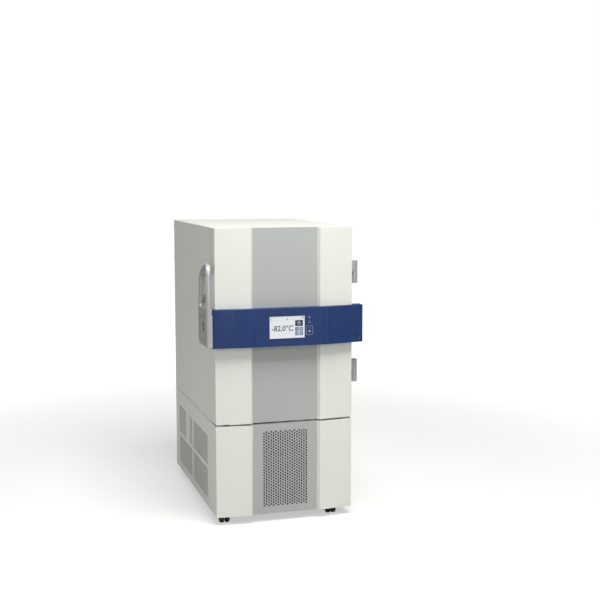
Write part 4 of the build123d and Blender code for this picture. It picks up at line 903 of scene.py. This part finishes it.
def hullRim(circles, samples=96):
    points = []
    for cy, cz, radius in circles:
        for n in range(samples):
            angle = 2 * math.pi * n / samples
            points.append((cy + radius * math.cos(angle), cz + radius * math.sin(angle), math.cos(angle),
                           math.sin(angle)))
    points.sort()

    def halfHull(ordered):
        chain = []
        for p in ordered:
            while len(chain) > 1:
                (ay, az), (by, bz) = chain[-2][:2], chain[-1][:2]
                if (by - ay) * (p[1] - az) - (bz - az) * (p[0] - ay) > 1e-7:
                    break
                chain.pop()
            chain.append(p)
        return chain[:-1]

    return halfHull(points) + halfHull(points[::-1])


def rimLayer(bm, rim, inset, x, keepLow=True):
    ring = []
    for y, z, ny, nz in rim:
        down = max(nz, 0) if keepLow else nz
        ring.append(bm.verts.new(at(x, y - inset * ny, z - inset * down)))
    return ring


def joinRings(bm, rings):
    for low, high in zip(rings, rings[1:]):
        count = len(low)
        for n in range(count):
            bm.faces.new((low[n], low[(n + 1) % count], high[(n + 1) % count], high[n]))


def ringEdges(bm, ring):
    bm.edges.ensure_lookup_table()
    return [bm.edges.get((a, b)) or bm.edges.new((a, b)) for a, b in zip(ring, ring[1:] + ring[:1])]


def roundedLayers(bm, rim, outerX, innerX, edge, inner, steps, keepLow=True):
    rings = []
    for n in range(steps + 1):
        angle = math.pi / 2 * n / steps
        rings.append(rimLayer(bm, rim, edge * (1 - math.sin(angle)), outerX + edge * (1 - math.cos(angle)), keepLow))
    rings.append(rimLayer(bm, rim, 0, innerX - inner, keepLow))
    rings.append(rimLayer(bm, rim, inner, innerX, keepLow))
    joinRings(bm, rings)
    return rings[0], rings[-1]


def leverPiece():
    look = handleLook
    pivotY, pivotZ = look["pivot"]
    bm = bmesh.new()
    rim = hullRim(look["leverCircles"])
    outer, inner = roundedLayers(bm, rim, look["outerX"], look["innerX"], look["edgeRound"], look["innerEdge"],
                                 look["roundSteps"])
    hole = hullRim(look["openingCircles"])
    soft = look["openingRound"]
    rings = []
    for n in range(5):
        angle = math.pi / 2 * n / 4
        rings.append(rimLayer(bm, hole, -soft * (1 - math.sin(angle)),
                              look["outerX"] + soft * (1 - math.cos(angle)), False))
    rings.append(rimLayer(bm, hole, 0, look["innerX"] - 1, False))
    rings.append(rimLayer(bm, hole, -1, look["innerX"], False))
    joinRings(bm, rings)
    for outside, inside in ((outer, rings[0]), (inner, rings[-1])):
        bmesh.ops.triangle_fill(bm, use_beauty=True, use_dissolve=False,
                                edges=ringEdges(bm, outside) + ringEdges(bm, inside))
    pieceLike("leverHandle", "handle_lever", meshOf(bm, "leverHandle", 50), replaced=True)
    bm = bmesh.new()
    addLathe(bm, at(-28.3, pivotY, pivotZ), (1, 0, 0),
             ((0, 0), (13, 0), (14, 0.8), (14, 4.4), (13.2, 5.2), (0, 5.2)))
    pieceLike("leverPivotBoss", "lock_housing", meshOf(bm, "leverPivotBoss"))


def housingRim():
    rim = []
    for y, z, ny, nz in hullRim(((-44, 924, 6), (124, 953, 35), (153, 1062, 6), (-44, 1062, 6))):
        if z < 1055:
            rim.append((y, z, ny, nz))
    (pivotY, pivotZ), turn = handleLook["pivot"], handleLook["cup"]
    top = [(159, pivotZ - turn, 1, 0)]
    for n in range(13):
        angle = math.radians(270 - 59.0 * n / 12)
        top.append((pivotY + turn * math.cos(angle), pivotZ + turn * math.sin(angle), 0, 0))
    top.append((-50, pivotZ + turn * math.sin(math.radians(211)), -1, 0))
    return rim + top


def lockOval(radius):
    sides = handleLook["lockSides"]
    (y, z), stretch = handleLook["lockCentre"], handleLook["lockStretch"]
    oval = []
    for n in range(sides):
        across, up = math.cos(2 * math.pi * (n + 0.5) / sides), math.sin(2 * math.pi * (n + 0.5) / sides)
        oval.append((y + radius * across, z + radius * up + math.copysign(stretch, up), across, up))
    return oval


def housingPiece():
    look = handleLook
    rim = housingRim()
    bm = bmesh.new()

    def layer(inset, x):
        ring = []
        for y, z, ny, nz in rim:
            py = min(max(y - inset * ny, -50 + inset), 159 - inset)
            pz = z - inset * min(nz, 0)
            if z > 1068:  # the top stays below the cup that the lever turns in
                across = min(py, look["pivot"][0]) - look["pivot"][0]
                pz = min(pz, look["pivot"][1] - math.sqrt(look["cup"] ** 2 - across ** 2))
            ring.append(bm.verts.new(at(x, py, pz)))
        return ring

    steps, edge = look["roundSteps"], look["edgeRound"]
    rings = [layer(edge * (1 - math.sin(math.pi / 2 * n / steps)),
                   look["outerX"] + edge * (1 - math.cos(math.pi / 2 * n / steps)))
             for n in range(steps + 1)]
    rings += [layer(0, look["housingInnerX"] - 1), layer(1, look["housingInnerX"])]
    joinRings(bm, rings)
    pocket = lockOval(18)
    wells = [rimLayer(bm, pocket, -1.2, look["outerX"], False), rimLayer(bm, pocket, 0, look["outerX"] + 1.2, False),
             rimLayer(bm, pocket, 0, look["outerX"] + 14, False)]
    joinRings(bm, wells)
    bm.faces.new(wells[-1])
    bm.faces.new(rings[-1])
    bmesh.ops.remove_doubles(bm, verts=bm.verts, dist=1e-5)
    face = at(look["outerX"], 0, 0).x
    rims = [edge for edge in bm.edges if edge.is_boundary and all(abs(vert.co.x - face) < 1e-6 for vert in edge.verts)]
    bmesh.ops.triangle_fill(bm, use_beauty=True, use_dissolve=False, edges=rims)
    pieceLike("handleHousing", "lock_housing", meshOf(bm, "handleHousing", 40), replaced=True)
    bm = bmesh.new()
    for low, high in (((-22.5, 4, 926), (0, 84, 1060)), ((-22.5, 4, 948), (-5, 145, 1060)),
                      ((-27.7, -38, 1058.5), (-22.7, -10, 1096))):
        addBox(bm, at(*low), at(*high))
    bevelled(pieceLike("housingFoot", "lock_housing", meshOf(bm, "housingFoot")), 1.5)


def lockPieces():
    bm = bmesh.new()
    sides = handleLook["lockSides"]
    lockY, lockZ = handleLook["lockCentre"]
    rim = lockOval(17.7)
    profile = ((6.9, -38.3), (0.6, -38.3), (0, -38.9), (0, -50.4), (0.7, -51), (2.4, -51), (3.6, -50.4), (4.6, -47))
    joinRings(bm, [rimLayer(bm, rim, inset, x, False) for inset, x in profile])
    rings = [rimLayer(bm, rim, 4.6, -47, False)]
    circle = []
    for radius, x in ((12.4, -47), (11.1, -46.2), (11.1, -40)):
        ring = []
        for n in range(sides):
            angle = 2 * math.pi * (n + 0.5) / sides
            ring.append(bm.verts.new(at(x, lockY + radius * math.cos(angle), lockZ + radius * math.sin(angle))))
        circle.append(ring)
    joinRings(bm, rings + circle)
    bm.faces.new(circle[-1])
    bmesh.ops.remove_doubles(bm, verts=bm.verts, dist=1e-6)
    pieceLike("lockSurround", "lock_escutcheon", meshOf(bm, "lockSurround", 40), blackLockAndSlotShade, replaced=True)
    bm = bmesh.new()
    addLathe(bm, at(-40.5, lockY, lockZ), (-1, 0, 0),
             ((0, 0), (11, 0), (11, 8.3), (10.2, 9.3), (7.6, 9.5), (7.2, 9.1), (0, 9.1)), 64)
    pieceLike("lockBarrel", "lock_cylinder", meshOf(bm, "lockBarrel"), replaced=True)
    bm = bmesh.new()
    # A thin black plate on the barrel's face stands for the keyhole; it is painted shade of a slot that is not cut.
    addBox(bm, at(-49.75, lockY - 1.1, lockZ - 6), at(-49.55, lockY + 1.1, lockZ + 6))
    pieceLike("lockKeywayPaintedShade", "lock_cylinder", meshOf(bm, "lockKeywayPaintedShade"), blackLockAndSlotShade)


leverPiece()
housingPiece()
lockPieces()
print("handle and lock built")


# Hinges of the outer door

hingeLook = {"low": (692, 1210), "height": 117.0, "pinX": 756.0, "pinY": 74.0, "knuckle": 18.0}


def hingeExtras():
    look = hingeLook
    caps = bmesh.new()
    screws = bmesh.new()
    slotShades = bmesh.new()
    for low in look["low"]:
        top = low + look["height"]
        addLathe(caps, at(look["pinX"], look["pinY"], top - 1.2), (0, 0, 1), ((0, 1.2), (15, 1.2), (17.2, 0.2),
                                                                              (17.6, -6), (0, -6)))
        addLathe(caps, at(look["pinX"], look["pinY"], low + 1.2), (0, 0, -1), ((0, 1.2), (15, 1.2), (17.2, 0.2),
                                                                               (17.6, -6), (0, -6)))
        for n in range(3):
            z = low + look["height"] * (0.2 + 0.3 * n)
            addLathe(screws, at(726.0, 100 + 16, z), (1, 0, 0), ((0, 2.2), (3, 2.2), (4.8, 1.0), (5.2, 0), (0, 0)),
                     24)
            # The black cross bars on each screw head stand for the screwdriver slots; they are painted shade of slots
            # that are not cut into the heads.
            for turn in (0, 90):
                half = Vector((0.0004, 0.0028, 0.0006)) if turn == 0 else Vector((0.0004, 0.0006, 0.0028))
                centre = at(728.2, 116, z)
                addBox(slotShades, centre - half, centre + half)
    pieceLike("hingeCaps", "hinge_pins", meshOf(caps, "hingeCaps"), blackPlastic)
    pieceLike("hingeScrews", "cabinet_hinge_leaves", meshOf(screws, "hingeScrews"), zincSteel)
    pieceLike("hingeScrewSlotShades", "cabinet_hinge_leaves", meshOf(slotShades, "hingeScrewSlotShades"), blackLockAndSlotShade)


hingeExtras()
print("hinges dressed")


# Twin wheel castors

castorLook = {"places": {"front_left": (50, 70), "front_right": (622, 70), "rear_left": (50, 1006),
                         "rear_right": (622, 1006)},
              "trail": 18.0, "radius": 25.0, "spacing": 30.0, "width": 22.0}


def castorPieces():
    look = castorLook
    for place, (x, y) in look["places"].items():
        words = place.split("_")
        name = words[0] + words[1].capitalize()
        treads, hubs = bmesh.new(), bmesh.new()
        for side in (-1, 1):
            inner = x + side * (look["spacing"] - look["width"]) / 2
            centre = at(inner, y - look["trail"], look["radius"])
            axis = (side, 0, 0)
            addLathe(treads, centre, axis, ((4.2, 0), (20, 0), (23.4, 0.8), (24.6, 2.6), (25, 6), (25, 12), (24.4,
                                                                                                             16.2),
                                            (22.8, 19.2), (20.4, 20.8), (18.2, 21.2), (17.2, 20.2), (16.8, 17.2),
                                            (8.2, 15.6),
                                            (4.2, 15.6)), 64)
            addLathe(hubs, centre, axis, ((4.15, 15.8), (8.0, 15.8), (7.8, 19.6), (6.6, 21.2), (3.4, 21.9), (0,
                                                                                                             22)), 40)
            for n in range(5):
                angle = 2 * math.pi * n / 5
                along = Vector((0, math.cos(angle), math.sin(angle)))
                across = Vector((0, -math.sin(angle), math.cos(angle)))
                rib = []
                for reach, half in ((7.5, 2.0), (17.0, 2.6)):
                    for s in (-1, 1):
                        for depth in (15.0, 18.4):
                            rib.append(treads.verts.new(centre + (along * reach + across * half * s) / 1000
                                                        + Vector((side * depth / 1000, 0, 0))))
                for face in ((0, 1, 3, 2), (4, 6, 7, 5), (0, 4, 5, 1), (2, 3, 7, 6), (1, 5, 7, 3)):
                    treads.faces.new([rib[k] for k in face])
        pieceLike(name + "Treads", "wheels_" + place, meshOf(treads, name + "Treads", 30), replaced=True)
        pieceLike(name + "Hubs", "wheels_" + place, meshOf(hubs, name + "Hubs", 40), blackPlastic)
        hood = bmesh.new()
        addLathe(hood, at(x, y, 61.5), (0, 0, 1), ((0, -3), (15, -3), (20.4, -1.2), (21.6, 1.6), (21.9, 9.4),
                                                   (20.8, 10.2), (0, 10.2)), 48)
        pieceLike(name + "Hood", "fork_" + place, meshOf(hood, name + "Hood"), blackPlastic)


castorPieces()
print("castors built")
